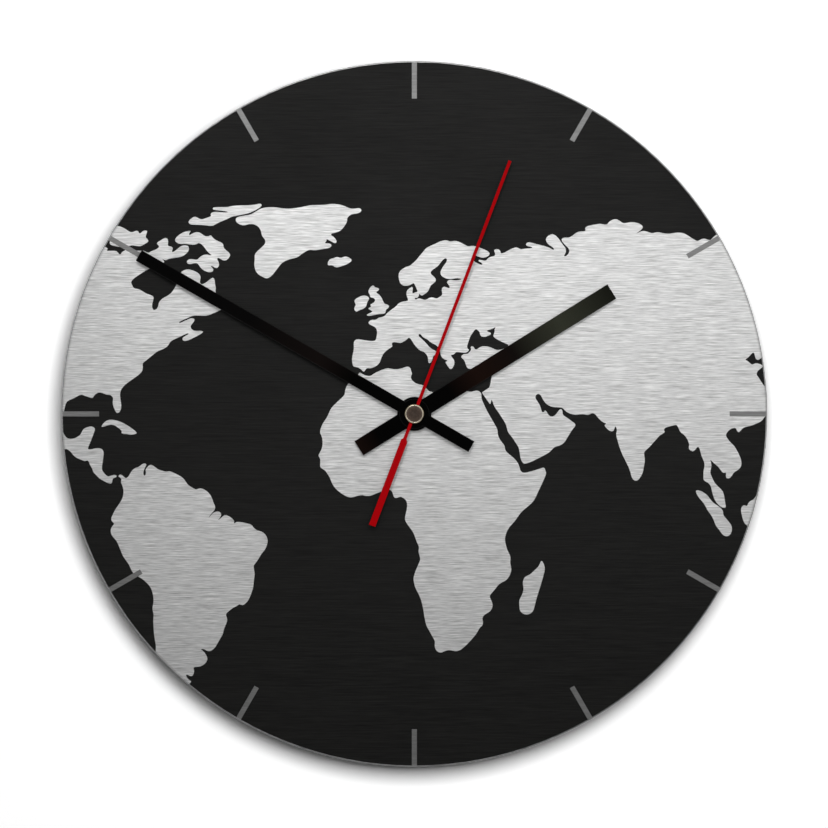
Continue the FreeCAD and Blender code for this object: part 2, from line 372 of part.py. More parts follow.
        (0.171, 0.431), (0.180, 0.426), (0.189, 0.422), (0.194, 0.424), (0.188, 0.430), (0.182, 0.432),
        (0.182, 0.437), (0.189, 0.436), (0.203, 0.433), (0.208, 0.441), (0.218, 0.446), (0.229, 0.448),
        (0.229, 0.456), (0.225, 0.463), (0.230, 0.467), (0.239, 0.467), (0.244, 0.461), (0.245, 0.454),
        (0.256, 0.457), (0.267, 0.464), (0.280, 0.470), (0.290, 0.473), (0.300, 0.466), (0.310, 0.468),
        (0.326, 0.469), (0.335, 0.471), (0.331, 0.474), (0.320, 0.475), (0.315, 0.480), (0.321, 0.487),
        (0.333, 0.485), (0.346, 0.481), (0.364, 0.477), (0.377, 0.473), (0.387, 0.469), (0.393, 0.464),
        (0.397, 0.467), (0.390, 0.474), (0.382, 0.478), (0.374, 0.487), (0.372, 0.496), (0.377, 0.503),
        (0.385, 0.508), (0.392, 0.510), (0.401, 0.505), (0.409, 0.497), (0.414, 0.489), (0.421, 0.479),
        (0.428, 0.471), (0.430, 0.461), (0.427, 0.453), (0.423, 0.446), (0.430, 0.447), (0.437, 0.454),
        (0.440, 0.462), (0.437, 0.469), (0.431, 0.475), (0.424, 0.482), (0.418, 0.489), (0.417, 0.496),
        (0.424, 0.500), (0.437, 0.499), (0.445, 0.503), (0.453, 0.509), (0.461, 0.515), (0.471, 0.517),
        (0.481, 0.517), (0.486, 0.520), (0.483, 0.527), (0.490, 0.532), (0.501, 0.535), (0.514, 0.537),
        (0.527, 0.539), (0.540, 0.536), (0.547, 0.537), (0.551, 0.544), (0.560, 0.550), (0.572, 0.552),
        (0.581, 0.548), (0.591, 0.540), (0.601, 0.541), (0.614, 0.544), (0.630, 0.542), (0.642, 0.537),
        (0.648, 0.530), (0.645, 0.524), (0.637, 0.517), (0.626, 0.510), (0.637, 0.515), (0.648, 0.519),
        (0.659, 0.517), (0.673, 0.511), (0.689, 0.516), (0.704, 0.512), (0.720, 0.510), (0.737, 0.513),
        (0.750, 0.514), (0.763, 0.512), (0.773, 0.507), (0.783, 0.500), (0.794, 0.493), (0.803, 0.489),
        (0.812, 0.495), (0.821, 0.497), (0.830, 0.494), (0.838, 0.492), (0.844, 0.497), (0.850, 0.504),
        (0.862, 0.511), (0.900, 0.530), (1.020, 0.500), (1.100, 0.350), (1.060, 0.180), (0.989, 0.165),
        (0.982, 0.157), (0.973, 0.152), (0.967, 0.156), (0.965, 0.164), (0.963, 0.172), (0.959, 0.174),
        (0.955, 0.170), (0.949, 0.163), (0.942, 0.157), (0.937, 0.154), (0.944, 0.150), (0.951, 0.144),
        (0.957, 0.139), (0.964, 0.143), (0.971, 0.144), (0.981, 0.141), (0.988, 0.136), (0.986, 0.132),
        (0.979, 0.127), (0.972, 0.121), (0.969, 0.112), (0.974, 0.105), (0.980, 0.096), (0.986, 0.086),
        (0.992, 0.078), (1.000, 0.076), (1.040, 0.060), (1.040, 0.010), (0.999, -0.003), (0.991, -0.010),
        (0.986, -0.018), (0.978, -0.024), (0.965, -0.029), (0.953, -0.034), (0.937, -0.037), (0.930, -0.041),
        (0.924, -0.048), (0.919, -0.053), (0.914, -0.048), (0.911, -0.040), (0.903, -0.040), (0.894, -0.044),
        (0.887, -0.051), (0.882, -0.060), (0.887, -0.070), (0.896, -0.081), (0.906, -0.090), (0.914, -0.103),
        (0.921, -0.117), (0.926, -0.130), (0.927, -0.141), (0.925, -0.151), (0.917, -0.159), (0.908, -0.164),
        (0.903, -0.169), (0.899, -0.177), (0.892, -0.183), (0.884, -0.182), (0.882, -0.175), (0.884, -0.165),
        (0.875, -0.168), (0.869, -0.161), (0.863, -0.152), (0.856, -0.145), (0.849, -0.140), (0.843, -0.134),
        (0.838, -0.129), (0.841, -0.139), (0.842, -0.147), (0.840, -0.157), (0.838, -0.167), (0.842, -0.176),
        (0.846, -0.186), (0.852, -0.197), (0.862, -0.207), (0.873, -0.217), (0.877, -0.228), (0.879, -0.241),
        (0.881, -0.253), (0.883, -0.264), (0.878, -0.267), (0.869, -0.264), (0.860, -0.256), (0.852, -0.246),
        (0.847, -0.233), (0.843, -0.220), (0.841, -0.207), (0.836, -0.198), (0.828, -0.193), (0.819, -0.188),
        (0.819, -0.176), (0.819, -0.161), (0.822, -0.150), (0.822, -0.139), (0.818, -0.129), (0.813, -0.118),
        (0.810, -0.106), (0.808, -0.097), (0.803, -0.093), (0.800, -0.096), (0.795, -0.103), (0.790, -0.106),
        (0.784, -0.105), (0.778, -0.100), (0.777, -0.094), (0.779, -0.087), (0.777, -0.080), (0.773, -0.071),
        (0.767, -0.062), (0.760, -0.056), (0.754, -0.052), (0.750, -0.044), (0.747, -0.037), (0.743, -0.031),
        (0.736, -0.032), (0.728, -0.034), (0.717, -0.037), (0.709, -0.040), (0.707, -0.046), (0.710, -0.052),
        (0.704, -0.056), (0.695, -0.061), (0.689, -0.068), (0.684, -0.074), (0.678, -0.080), (0.672, -0.088),
        (0.661, -0.099), (0.651, -0.107), (0.651, -0.116), (0.653, -0.127), (0.653, -0.137), (0.650, -0.150),
        (0.648, -0.165), (0.642, -0.177), (0.635, -0.187), (0.628, -0.190), (0.620, -0.187), (0.615, -0.178),
        (0.613, -0.168), (0.609, -0.156), (0.603, -0.142), (0.595, -0.127), (0.587, -0.111), (0.581, -0.094),
        (0.576, -0.076), (0.571, -0.058), (0.574, -0.048), (0.573, -0.040), (0.569, -0.034), (0.567, -0.041),
        (0.565, -0.048), (0.558, -0.050), (0.550, -0.046), (0.542, -0.038), (0.538, -0.032), (0.545, -0.027),
        (0.533, -0.023), (0.524, -0.015), (0.518, -0.008), (0.513, -0.001), (0.505, 0.003), (0.497, -0.001),
        (0.490, -0.003), (0.480, -0.001), (0.469, -0.001), (0.459, -0.003), (0.446, -0.001), (0.436, 0.003),
        (0.428, 0.008), (0.423, 0.014), (0.418, 0.018), (0.405, 0.018), (0.390, 0.020), (0.380, 0.024),
        (0.372, 0.030), (0.366, 0.038), (0.362, 0.045), (0.360, 0.050), (0.356, 0.055), (0.351, 0.057),
        (0.345, 0.054), (0.342, 0.047), (0.347, 0.038), (0.354, 0.028), (0.358, 0.018), (0.360, 0.010),
        (0.362, 0.005), (0.367, 0.005), (0.370, 0.010), (0.374, 0.008), (0.378, 0.000), (0.383, -0.006),
        (0.391, -0.008), (0.399, -0.004), (0.405, 0.004), (0.410, 0.011), (0.416, 0.014), (0.420, 0.009),
        (0.420, -0.002), (0.428, -0.008), (0.439, -0.015), (0.449, -0.023), (0.457, -0.029), (0.455, -0.036),
        (0.447, -0.045), (0.441, -0.055), (0.433, -0.068), (0.426, -0.080), (0.418, -0.087), (0.408, -0.091),
        (0.398, -0.093), (0.390, -0.101), (0.382, -0.109), (0.374, -0.114), (0.359, -0.122), (0.341, -0.131),
        (0.326, -0.138), (0.315, -0.141), (0.308, -0.140), (0.303, -0.132), (0.300, -0.122), (0.298, -0.106),
        (0.295, -0.093), (0.286, -0.081), (0.280, -0.070), (0.272, -0.060), (0.266, -0.053), (0.262, -0.041),
        (0.260, -0.030), (0.254, -0.020), (0.245, -0.006), (0.238, 0.005), (0.229, 0.017), (0.224, 0.027),
        (0.221, 0.037), (0.218, 0.041), (0.217, 0.032), (0.215, 0.027), (0.208, 0.036), (0.202, 0.045),
        (0.195, 0.055), (0.191, 0.061), (0.198, 0.065), (0.205, 0.070), (0.212, 0.074), (0.215, 0.082),
        (0.217, 0.095), (0.219, 0.105), (0.221, 0.118), (0.217, 0.129), (0.203, 0.132), (0.185, 0.127),
        (0.170, 0.125), (0.158, 0.127), (0.151, 0.129), (0.147, 0.136), (0.144, 0.146), (0.140, 0.154),
        (0.132, 0.160), (0.134, 0.166), (0.141, 0.170), (0.151, 0.170), (0.156, 0.175), (0.160, 0.180),
        (0.161, 0.184), (0.159, 0.190), (0.164, 0.192), (0.169, 0.189), (0.171, 0.184), (0.175, 0.182),
        (0.180, 0.185), (0.187, 0.190), (0.197, 0.192), (0.208, 0.191), (0.218, 0.188), (0.228, 0.183),
        (0.236, 0.181), (0.248, 0.183), (0.262, 0.189), (0.268, 0.196), (0.257, 0.200), (0.246, 0.205),
        (0.237, 0.210), (0.228, 0.215), (0.223, 0.221), (0.226, 0.228), (0.228, 0.235), (0.227, 0.240),
        (0.231, 0.247), (0.223, 0.242), (0.215, 0.239), (0.204, 0.236), (0.209, 0.232), (0.216, 0.231),
        (0.217, 0.225), (0.210, 0.222), (0.203, 0.219), (0.195, 0.218), (0.189, 0.220), (0.186, 0.225),
        (0.185, 0.232), (0.181, 0.236), (0.175, 0.241), (0.169, 0.236), (0.164, 0.228), (0.159, 0.221),
        (0.155, 0.210), (0.152, 0.200), (0.149, 0.191), (0.151, 0.185), (0.155, 0.182), (0.154, 0.179),
        (0.149, 0.174), (0.138, 0.173), (0.120, 0.176), (0.115, 0.172), (0.111, 0.168), (0.103, 0.167),
        (0.106, 0.161), (0.112, 0.154), (0.114, 0.146), (0.112, 0.136), (0.106, 0.127), (0.101, 0.127),
        (0.096, 0.133), (0.091, 0.141), (0.087, 0.147), (0.096, 0.151), (0.085, 0.154), (0.078, 0.160),
        (0.074, 0.168), (0.073, 0.177), (0.071, 0.184), (0.067, 0.190), (0.060, 0.196), (0.051, 0.200),
        (0.042, 0.206), (0.036, 0.212), (0.028, 0.215), (0.022, 0.220), (0.018, 0.226), (0.012, 0.226),
        (0.012, 0.221), (0.018, 0.215), (0.026, 0.208), (0.035, 0.199), (0.042, 0.190), (0.051, 0.183),
        (0.058, 0.180), (0.063, 0.176), (0.068, 0.169), (0.064, 0.166), (0.058, 0.167), (0.054, 0.165),
        (0.052, 0.157), (0.049, 0.148), (0.043, 0.143), (0.039, 0.147), (0.039, 0.154), (0.038, 0.162),
        (0.034, 0.169), (0.026, 0.177), (0.016, 0.179), (0.008, 0.187), (0.000, 0.196), (-0.006, 0.206),
        (-0.011, 0.214), (-0.016, 0.216), (-0.020, 0.212), (-0.028, 0.206), (-0.038, 0.201), (-0.048, 0.202),
        (-0.058, 0.204), (-0.065, 0.200), (-0.061, 0.191), (-0.070, 0.186), (-0.080, 0.179), (-0.089, 0.169),
        (-0.094, 0.158), (-0.097, 0.147), (-0.104, 0.138), (-0.115, 0.132), (-0.125, 0.129), (-0.134, 0.130),
        (-0.138, 0.126), (-0.142, 0.119), (-0.146, 0.121), (-0.152, 0.127), (-0.160, 0.132), (-0.173, 0.134),
        (-0.175, 0.141), (-0.177, 0.151), (-0.176, 0.162), (-0.173, 0.174), (-0.171, 0.187),
    ),
    "africa": (
        (-0.164, 0.104), (-0.158, 0.114), (-0.154, 0.118), (-0.146, 0.112), (-0.135, 0.108), (-0.124, 0.107),
        (-0.115, 0.114), (-0.102, 0.121), (-0.089, 0.126), (-0.076, 0.130), (-0.066, 0.128), (-0.053, 0.126),
        (-0.039, 0.128), (-0.028, 0.132), (-0.018, 0.135), (-0.011, 0.130), (-0.009, 0.122), (-0.006, 0.114),
        (-0.010, 0.106), (-0.009, 0.098), (0.000, 0.089), (0.011, 0.084), (0.022, 0.082), (0.028, 0.080),
        (0.032, 0.075), (0.037, 0.069), (0.042, 0.064), (0.049, 0.063), (0.060, 0.057), (0.072, 0.050),
        (0.086, 0.047), (0.100, 0.052), (0.115, 0.060), (0.130, 0.066), (0.140, 0.066), (0.149, 0.065),
        (0.156, 0.063), (0.164, 0.063), (0.172, 0.066), (0.180, 0.066), (0.187, 0.062), (0.190, 0.057),
        (0.190, 0.048), (0.191, 0.041), (0.196, 0.030), (0.202, 0.016), (0.210, 0.001), (0.221, -0.018),
        (0.230, -0.033), (0.236, -0.045), (0.236, -0.057), (0.240, -0.069), (0.248, -0.080), (0.256, -0.090),
        (0.257, -0.101), (0.262, -0.109), (0.275, -0.119), (0.286, -0.129), (0.294, -0.140), (0.298, -0.150),
        (0.300, -0.160), (0.306, -0.166), (0.313, -0.167), (0.321, -0.165), (0.334, -0.162), (0.347, -0.158),
        (0.359, -0.154), (0.368, -0.151), (0.371, -0.159), (0.374, -0.168), (0.371, -0.177), (0.365, -0.190),
        (0.358, -0.206), (0.350, -0.222), (0.343, -0.238), (0.336, -0.249), (0.326, -0.259), (0.313, -0.269),
        (0.302, -0.279), (0.293, -0.292), (0.283, -0.306), (0.271, -0.318), (0.264, -0.329), (0.259, -0.341),
        (0.256, -0.355), (0.259, -0.370), (0.263, -0.385), (0.270, -0.398), (0.273, -0.408), (0.271, -0.421),
        (0.274, -0.433), (0.275, -0.444), (0.270, -0.459), (0.261, -0.471), (0.249, -0.477), (0.239, -0.483),
        (0.233, -0.491), (0.225, -0.501), (0.216, -0.511), (0.213, -0.518), (0.218, -0.528), (0.222, -0.539),
        (0.221, -0.550), (0.215, -0.559), (0.206, -0.565), (0.197, -0.570), (0.192, -0.579), (0.195, -0.590),
        (0.193, -0.600), (0.185, -0.606), (0.181, -0.614), (0.175, -0.624), (0.165, -0.636), (0.154, -0.648),
        (0.141, -0.661), (0.129, -0.670), (0.118, -0.673), (0.106, -0.670), (0.095, -0.669), (0.084, -0.673),
        (0.075, -0.677), (0.066, -0.674), (0.060, -0.667), (0.057, -0.656), (0.059, -0.644), (0.051, -0.631),
        (0.042, -0.614), (0.034, -0.600), (0.030, -0.585), (0.027, -0.564), (0.023, -0.541), (0.018, -0.523),
        (0.011, -0.508), (0.003, -0.494), (-0.001, -0.480), (-0.003, -0.467), (0.000, -0.454),
        (0.006, -0.438), (0.013, -0.423), (0.017, -0.413), (0.015, -0.401), (0.011, -0.390), (0.014, -0.377),
        (0.007, -0.364), (0.002, -0.349), (-0.002, -0.338), (-0.008, -0.328), (-0.017, -0.317),
        (-0.025, -0.305), (-0.027, -0.295), (-0.024, -0.282), (-0.021, -0.269), (-0.020, -0.256),
        (-0.023, -0.245), (-0.031, -0.238), (-0.040, -0.234), (-0.048, -0.238), (-0.057, -0.238),
        (-0.060, -0.229), (-0.063, -0.220), (-0.069, -0.215), (-0.079, -0.214), (-0.090, -0.218),
        (-0.101, -0.223), (-0.110, -0.226), (-0.120, -0.231), (-0.133, -0.233), (-0.146, -0.230),
        (-0.159, -0.231), (-0.169, -0.235), (-0.180, -0.237), (-0.190, -0.235), (-0.200, -0.230),
        (-0.213, -0.221), (-0.223, -0.212), (-0.231, -0.201), (-0.236, -0.191), (-0.239, -0.181),
        (-0.245, -0.172), (-0.252, -0.161), (-0.260, -0.156), (-0.267, -0.151), (-0.267, -0.141),
        (-0.266, -0.128), (-0.272, -0.119), (-0.269, -0.111), (-0.264, -0.103), (-0.260, -0.090),
        (-0.260, -0.077), (-0.262, -0.064), (-0.268, -0.052), (-0.265, -0.040), (-0.259, -0.026),
        (-0.250, -0.014), (-0.243, 0.000), (-0.237, 0.015), (-0.225, 0.028), (-0.212, 0.040),
        (-0.202, 0.049), (-0.197, 0.056), (-0.196, 0.068), (-0.192, 0.079), (-0.184, 0.090), (-0.173, 0.097),
    ),
    "madagascar": (
        (0.360, -0.415), (0.356, -0.423), (0.352, -0.432), (0.344, -0.440), (0.336, -0.447), (0.328, -0.455),
        (0.320, -0.458), (0.312, -0.463), (0.308, -0.472), (0.307, -0.482), (0.310, -0.495), (0.307, -0.508),
        (0.302, -0.518), (0.297, -0.528), (0.297, -0.544), (0.299, -0.558), (0.307, -0.566), (0.317, -0.569),
        (0.327, -0.567), (0.336, -0.560), (0.340, -0.549), (0.344, -0.531), (0.349, -0.513), (0.356, -0.492),
        (0.362, -0.472), (0.367, -0.454), (0.370, -0.441), (0.369, -0.431), (0.365, -0.421),
    ),
    "sumatra": (
        (0.796, -0.217), (0.805, -0.216), (0.818, -0.221), (0.830, -0.230), (0.838, -0.241), (0.847, -0.252),
        (0.859, -0.259), (0.868, -0.266), (0.875, -0.275), (0.875, -0.287), (0.884, -0.297), (0.892, -0.307),
        (0.899, -0.316), (0.900, -0.328), (0.898, -0.338), (0.891, -0.346), (0.881, -0.347), (0.872, -0.341),
        (0.865, -0.330), (0.857, -0.321), (0.851, -0.310), (0.847, -0.297), (0.839, -0.284), (0.831, -0.274),
        (0.826, -0.264), (0.820, -0.253), (0.810, -0.242), (0.802, -0.232),
    ),
    "borneo": (
        (0.976, -0.221), (0.968, -0.232), (0.962, -0.242), (0.953, -0.246), (0.946, -0.252), (0.943, -0.262),
        (0.934, -0.258), (0.927, -0.263), (0.925, -0.274), (0.928, -0.287), (0.931, -0.300), (0.936, -0.311),
        (0.945, -0.319), (0.965, -0.330), (1.020, -0.310), (1.040, -0.260), (1.010, -0.210),
    ),
}

# Inner seas, printed inside the land
LAKE_SHARES = {
    "baltic": (
        (0.000, 0.329), (0.003, 0.323), (0.012, 0.328), (0.020, 0.326), (0.031, 0.322), (0.044, 0.330),
        (0.054, 0.330), (0.063, 0.326), (0.074, 0.333), (0.080, 0.338), (0.077, 0.350), (0.079, 0.358),
        (0.085, 0.361), (0.092, 0.358), (0.100, 0.356), (0.100, 0.362), (0.096, 0.367), (0.092, 0.372),
        (0.095, 0.378), (0.103, 0.380), (0.115, 0.378), (0.126, 0.379), (0.136, 0.382), (0.123, 0.385),
        (0.115, 0.384), (0.107, 0.382), (0.095, 0.382), (0.084, 0.386), (0.076, 0.392), (0.073, 0.401),
        (0.077, 0.410), (0.082, 0.419), (0.089, 0.427), (0.093, 0.436), (0.091, 0.441), (0.086, 0.441),
        (0.079, 0.435), (0.073, 0.426), (0.065, 0.417), (0.057, 0.412), (0.050, 0.407), (0.045, 0.400),
        (0.050, 0.393), (0.058, 0.387), (0.062, 0.378), (0.055, 0.370), (0.047, 0.365), (0.044, 0.359),
        (0.041, 0.351), (0.036, 0.344), (0.028, 0.339), (0.020, 0.334), (0.014, 0.342), (0.013, 0.334),
        (0.008, 0.328),
    ),
}

document = FreeCAD.newDocument("WallClock")
sheet = document.addObject("Spreadsheet::Sheet", "size")
for row, (alias, amount, meaning) in enumerate(SIZES, start=1):
    sheet.set(f"A{row}", alias)
    sheet.set(f"B{row}", str(amount))
    sheet.set(f"C{row}", meaning)
    sheet.setAlias(f"B{row}", alias)
document.recompute()

# Distances forward from the wall, from the case to the cap
INNER_FRONT = "(size.case_depth - size.front_wall)"
HANGER_FRONT = "(size.case_depth + size.hanger_thickness)"
DIAL_BACK = f"({HANGER_FRONT} + size.rubber_thickness)"
DIAL_CORE_BACK = f"({DIAL_BACK} + size.skin_thickness)"
DIAL_CORE_FRONT = f"({DIAL_CORE_BACK} + size.dial_core_thickness)"
DIAL_FRONT = f"({DIAL_CORE_FRONT} + size.skin_thickness)"
PRINT_FRONT = f"({DIAL_FRONT} + size.print_thickness)"
NUT_BACK = f"({PRINT_FRONT} + size.washer_thickness)"
BUSHING_FRONT = f"({NUT_BACK} + size.nut_thickness + size.thread_end)"
HOUR_HAND_BACK = f"({BUSHING_FRONT} + size.hour_hand_gap + size.collar_flange)"
HOUR_HAND_FRONT = f"({HOUR_HAND_BACK} + size.hand_thickness)"
MINUTE_HAND_BACK = f"({HOUR_HAND_FRONT} + size.hand_gap + size.collar_flange)"
MINUTE_HAND_FRONT = f"({MINUTE_HAND_BACK} + size.hand_thickness)"
SECOND_HAND_BACK = f"({MINUTE_HAND_FRONT} + size.second_hand_gap + size.bush_height)"
SECOND_HAND_FRONT = f"({SECOND_HAND_BACK} + size.second_hand_thickness)"

# Planes of the wheels, counted from the front wall backwards
HOUR_PLANE, MINUTE_PLANE, CENTRE_PLANE, THIRD_PLANE, SECOND_PLANE, INTERMEDIATE_PLANE = range(6)


def plane_back(plane):
    """Distance from the wall to the back of the wheel in one of the planes."""
    step = f"{plane} * (size.wheel_thickness + size.wheel_gap)"
    return f"({INNER_FRONT} - size.hour_wheel_gap - size.wheel_thickness - {step})"


BRIDGE_FRONT = f"({plane_back(INTERMEDIATE_PLANE)} - size.wheel_gap)"
BRIDGE_BACK = f"({BRIDGE_FRONT} - size.bridge_thickness)"
MAGNET_BACK = (f"({plane_back(INTERMEDIATE_PLANE)} + size.wheel_thickness + size.pinion_overlap"
               f" + size.magnet_gap)")
STATOR_BACK = f"({MAGNET_BACK} + (size.magnet_length - size.stator_thickness) / 2)"
STATOR_FRONT = f"({STATOR_BACK} + size.stator_thickness)"
PIVOT_FRONT = f"({INNER_FRONT} + size.pivot_depth)"
BOARD_BACK = f"({INNER_FRONT} - size.board_gap - size.board_thickness)"

# Places in the plane of the dial
THIRD_X = "(size.third_distance * cos(size.third_bearing))"
THIRD_Y = "(size.third_distance * sin(size.third_bearing))"
MINUTE_X = "(size.minute_distance * cos(size.minute_bearing))"
MINUTE_Y = "(size.minute_distance * sin(size.minute_bearing))"
INTERMEDIATE_X = "(size.intermediate_distance * cos(size.intermediate_bearing))"
INTERMEDIATE_Y = "(size.intermediate_distance * sin(size.intermediate_bearing))"
ROTOR_X = f"({INTERMEDIATE_X} + size.rotor_distance * cos(size.rotor_bearing))"
ROTOR_Y = f"({INTERMEDIATE_Y} + size.rotor_distance * sin(size.rotor_bearing))"
SETTING_X = f"({MINUTE_X} + size.setting_distance * cos(size.setting_bearing))"
SETTING_Y = f"({MINUTE_Y} + size.setting_distance * sin(size.setting_bearing))"
ARBORS = [(THIRD_X, THIRD_Y), (MINUTE_X, MINUTE_Y), (INTERMEDIATE_X, INTERMEDIATE_Y), (ROTOR_X, ROTOR_Y)]
POSTS = [(f"({side} * size.post_side)", height)
         for side in (-1, 1) for height in ("size.post_top", "(-size.post_bottom)")]

# The battery's bay fills the bottom of the case, and the works lie above the partition
BAY_HALF = "(size.case_width / 2 - size.bay_wall)"
BAY_BOTTOM = "(-size.case_height / 2 + size.bay_wall)"
BATTERY_Y = f"({BAY_BOTTOM} + size.battery_gap + size.battery_diameter / 2)"
BATTERY_Z = f"({INNER_FRONT} - size.battery_gap - size.battery_diameter / 2)"
BAY_TOP = f"({BATTERY_Y} + size.battery_diameter / 2 + size.battery_gap)"
WORKS_BOTTOM = f"({BAY_TOP} + size.bay_wall)"
WORKS_TOP = "(size.case_height / 2 - size.side_wall)"
WORKS_HALF = "(size.case_width / 2 - size.side_wall)"
STRIP_X = "(size.battery_length / 2 + size.contact_gap)"
STRIP_BACK = f"({BATTERY_Z} - size.strip_width / 2)"
BOARD_LEFT = f"(-{WORKS_HALF} + size.board_side_gap)"
BOARD_BOTTOM = f"({WORKS_BOTTOM} + size.board_side_gap)"
STATOR_BOTTOM = f"({ROTOR_Y} - size.stator_bar / 2)"

exported = []


def number(expression):
    """The value of an expression in the sizes."""
    return float(sheet.evalExpression(expression))


def place(piece, x="0", y="0", z="0", turn="0"):
    """Turns a flat piece clockwise about its own z, stands it up and moves it to its place."""
    spin = f"rotationx(90) * rotationz(-({turn}))"
    piece.setExpression("Placement", f"placement(vector({x}; -({z}); {y}); {spin})")
    exported.append(piece)


def lay_along_x(piece, x, y, z):
    """Lays a turned piece along the x axis, with its foot at the place given."""
    piece.setExpression("Placement", f"placement(vector({x}; -({z}); {y}); rotationy(90))")
    exported.append(piece)


def new_body(label):
    """An empty body for one piece."""
    body = document.addObject("PartDesign::Body", label)
    body.Label = label
    return body


def new_sketch(body, height="0", role="XY_Plane"):
    """A sketch on one of the body's own planes, moved off it by a height."""
    sketch = body.newObject("Sketcher::SketchObject", "sketch")
    plane = [feature for feature in body.Origin.OriginFeatures if feature.Role == role][0]
    sketch.AttachmentSupport = (plane, "")
    sketch.MapMode = "FlatFace"
    sketch.setExpression("AttachmentOffset.Base.z", height)
    return sketch


def bind(sketch, kind, geometry, point, expression):
    """Holds one coordinate of a sketched point at an expression in the sizes."""
    constraint = Sketcher.Constraint(kind, -1, 1, geometry, point, number(expression))
    index = sketch.addConstraint(constraint)
    sketch.setExpression(f"Constraints[{index}]", expression)


def draw_loop(sketch, corners):
    """Draws a closed line through corners, each an x and a y in the sizes."""
    points = [FreeCAD.Vector(number(x), number(y), 0) for x, y in corners]
    first = sketch.GeometryCount
    count = len(corners)
    for i in range(count):
        sketch.addGeometry(Part.LineSegment(points[i], points[(i + 1) % count]), False)
    for i, (x, y) in enumerate(corners):
        following = first + (i + 1) % count
        sketch.addConstraint(Sketcher.Constraint("Coincident", first + i, 2, following, 1))
        bind(sketch, "DistanceX", first + i, 1, x)
        bind(sketch, "DistanceY", first + i, 1, y)


def draw_box(sketch, left, bottom, right, top):
    """Draws a rectangle between two corners."""
    draw_loop(sketch, [(left, bottom), (right, bottom), (right, top), (left, top)])


def draw_circle(sketch, diameter, x="0", y="0"):
    """Draws a circle about a place."""
    centre = FreeCAD.Vector(number(x), number(y), 0)
    radius = number(f"({diameter}) / 2")
    index = sketch.addGeometry(Part.Circle(centre, FreeCAD.Vector(0, 0, 1), radius), False)
    constraint = sketch.addConstraint(Sketcher.Constraint("Radius", index, radius))
    sketch.setExpression(f"Constraints[{constraint}]", f"({diameter}) / 2")
    bind(sketch, "DistanceX", index, 3, x)
    bind(sketch, "DistanceY", index, 3, y)


def pad(body, sketch, length):
    """Raises a sketch forward."""
    feature = body.newObject("PartDesign::Pad", "pad")
    feature.Profile = sketch
    feature.setExpression("Length", length)
    return feature


def pocket(body, sketch, length):
    """Cuts a sketch forward into the body."""
    feature = body.newObject("PartDesign::Pocket", "pocket")
    feature.Profile = sketch
    feature.Reversed = True
    feature.setExpression("Length", length)
    return feature


def revolve(body, sketch, kind="PartDesign::Revolution"):
    """Turns a sketch once around the body's z axis, to add a form or with a groove to cut one."""
    feature = body.newObject(kind, "turning")
    feature.Profile = sketch
    feature.ReferenceAxis = (sketch, ["V_Axis"])
    feature.Angle = 360
    return feature


def lathe(label, corners):
    """A turned piece from its half profile, each corner a radius and a height."""
    body = new_body(label)
    sketch = new_sketch(body, role="XZ_Plane")
    draw_loop(sketch, corners)
    revolve(body, sketch)
    return body


def ring(label, outer, inner, thickness):
    """A flat turned ring between two diameters."""
    outside = f"({outer}) / 2"
    inside = f"({inner}) / 2"
    return lathe(label, [(inside, "0"), (outside, "0"), (outside, thickness), (inside, thickness)])


def edge_names(feature, wanted):
    """Names of a feature's edges that pass a test."""
    document.recompute()
    return [f"Edge{i}" for i, edge in enumerate(feature.Shape.Edges, start=1) if wanted(edge)]


def dress(body, kind, feature, wanted, measure, amount):
    """Rounds or bevels the edges of a feature that pass a test."""
    dressing = body.newObject(kind, "dressing")
    dressing.Base = (feature, edge_names(feature, wanted))
    dressing.setExpression(measure, amount)
    return dressing


def is_upright(edge):
    """True for an edge that runs straight forward."""
    box = edge.BoundBox
    return max(box.XLength, box.YLength) < box.ZLength * 1e-3


def new_solid(label, shape):
    """A piece whose shape is worked out in code."""
    piece = document.addObject("Part::Feature", label)
    piece.Label = label
    piece.Shape = shape
    return piece


def cylinder(diameter, back, front, x="0", y="0"):
    """A round solid along z between two heights."""
    base = FreeCAD.Vector(number(x), number(y), number(back))
    return Part.makeCylinder(number(f"({diameter}) / 2"), number(f"({front}) - ({back})"), base)


def block(left, right, bottom, top, back, front):
    """A rectangular solid between two corners."""
    corner = FreeCAD.Vector(number(left), number(bottom), number(back))
    width = number(f"({right}) - ({left})")
    height = number(f"({top}) - ({bottom})")
    return Part.makeBox(width, height, number(f"({front}) - ({back})"), corner)


def toothed(teeth, module, phase, back, front):
    """A toothed disc with six corners a tooth; the phase is the bearing of one tooth, in degrees."""
    pitch_radius = teeth * module / 2
    root = pitch_radius - TOOTH_BELOW_SHARE * module
    tip = pitch_radius + TOOTH_ABOVE_SHARE * module
    half = ((root, -TOOTH_ROOT_SHARE), (pitch_radius, -TOOTH_PITCH_SHARE), (tip, -TOOTH_TIP_SHARE),
            (tip, TOOTH_TIP_SHARE), (pitch_radius, TOOTH_PITCH_SHARE), (root, TOOTH_ROOT_SHARE))
    height = number(back)
    points = []
    for tooth in range(teeth):
        for radius, side_share in half:
            angle = math.radians(phase) + (tooth + side_share / 2) * 2 * math.pi / teeth
            points.append(FreeCAD.Vector(radius * math.cos(angle), radius * math.sin(angle), height))
    face = Part.Face(Part.makePolygon(points + points[:1]))
    return face.extrude(FreeCAD.Vector(0, 0, number(front) - height))


def meshing_phase(phase, teeth, bearing, other_teeth):
    """Phase of a wheel that meets another at a bearing, tooth in gap."""
    offset = (bearing - phase) * teeth / 360
    return bearing + 180 - (0.5 - offset) * 360 / other_teeth


def module_of(distance, teeth, other_teeth):
    """Module that two wheels need at their distance."""
    return 2 * number(distance) / (teeth + other_teeth)


def through_hole():
    """Diameter of the hole that lets the bushing through what it clamps."""
    return "size.bushing_diameter + 2 * size.hole_clearance"


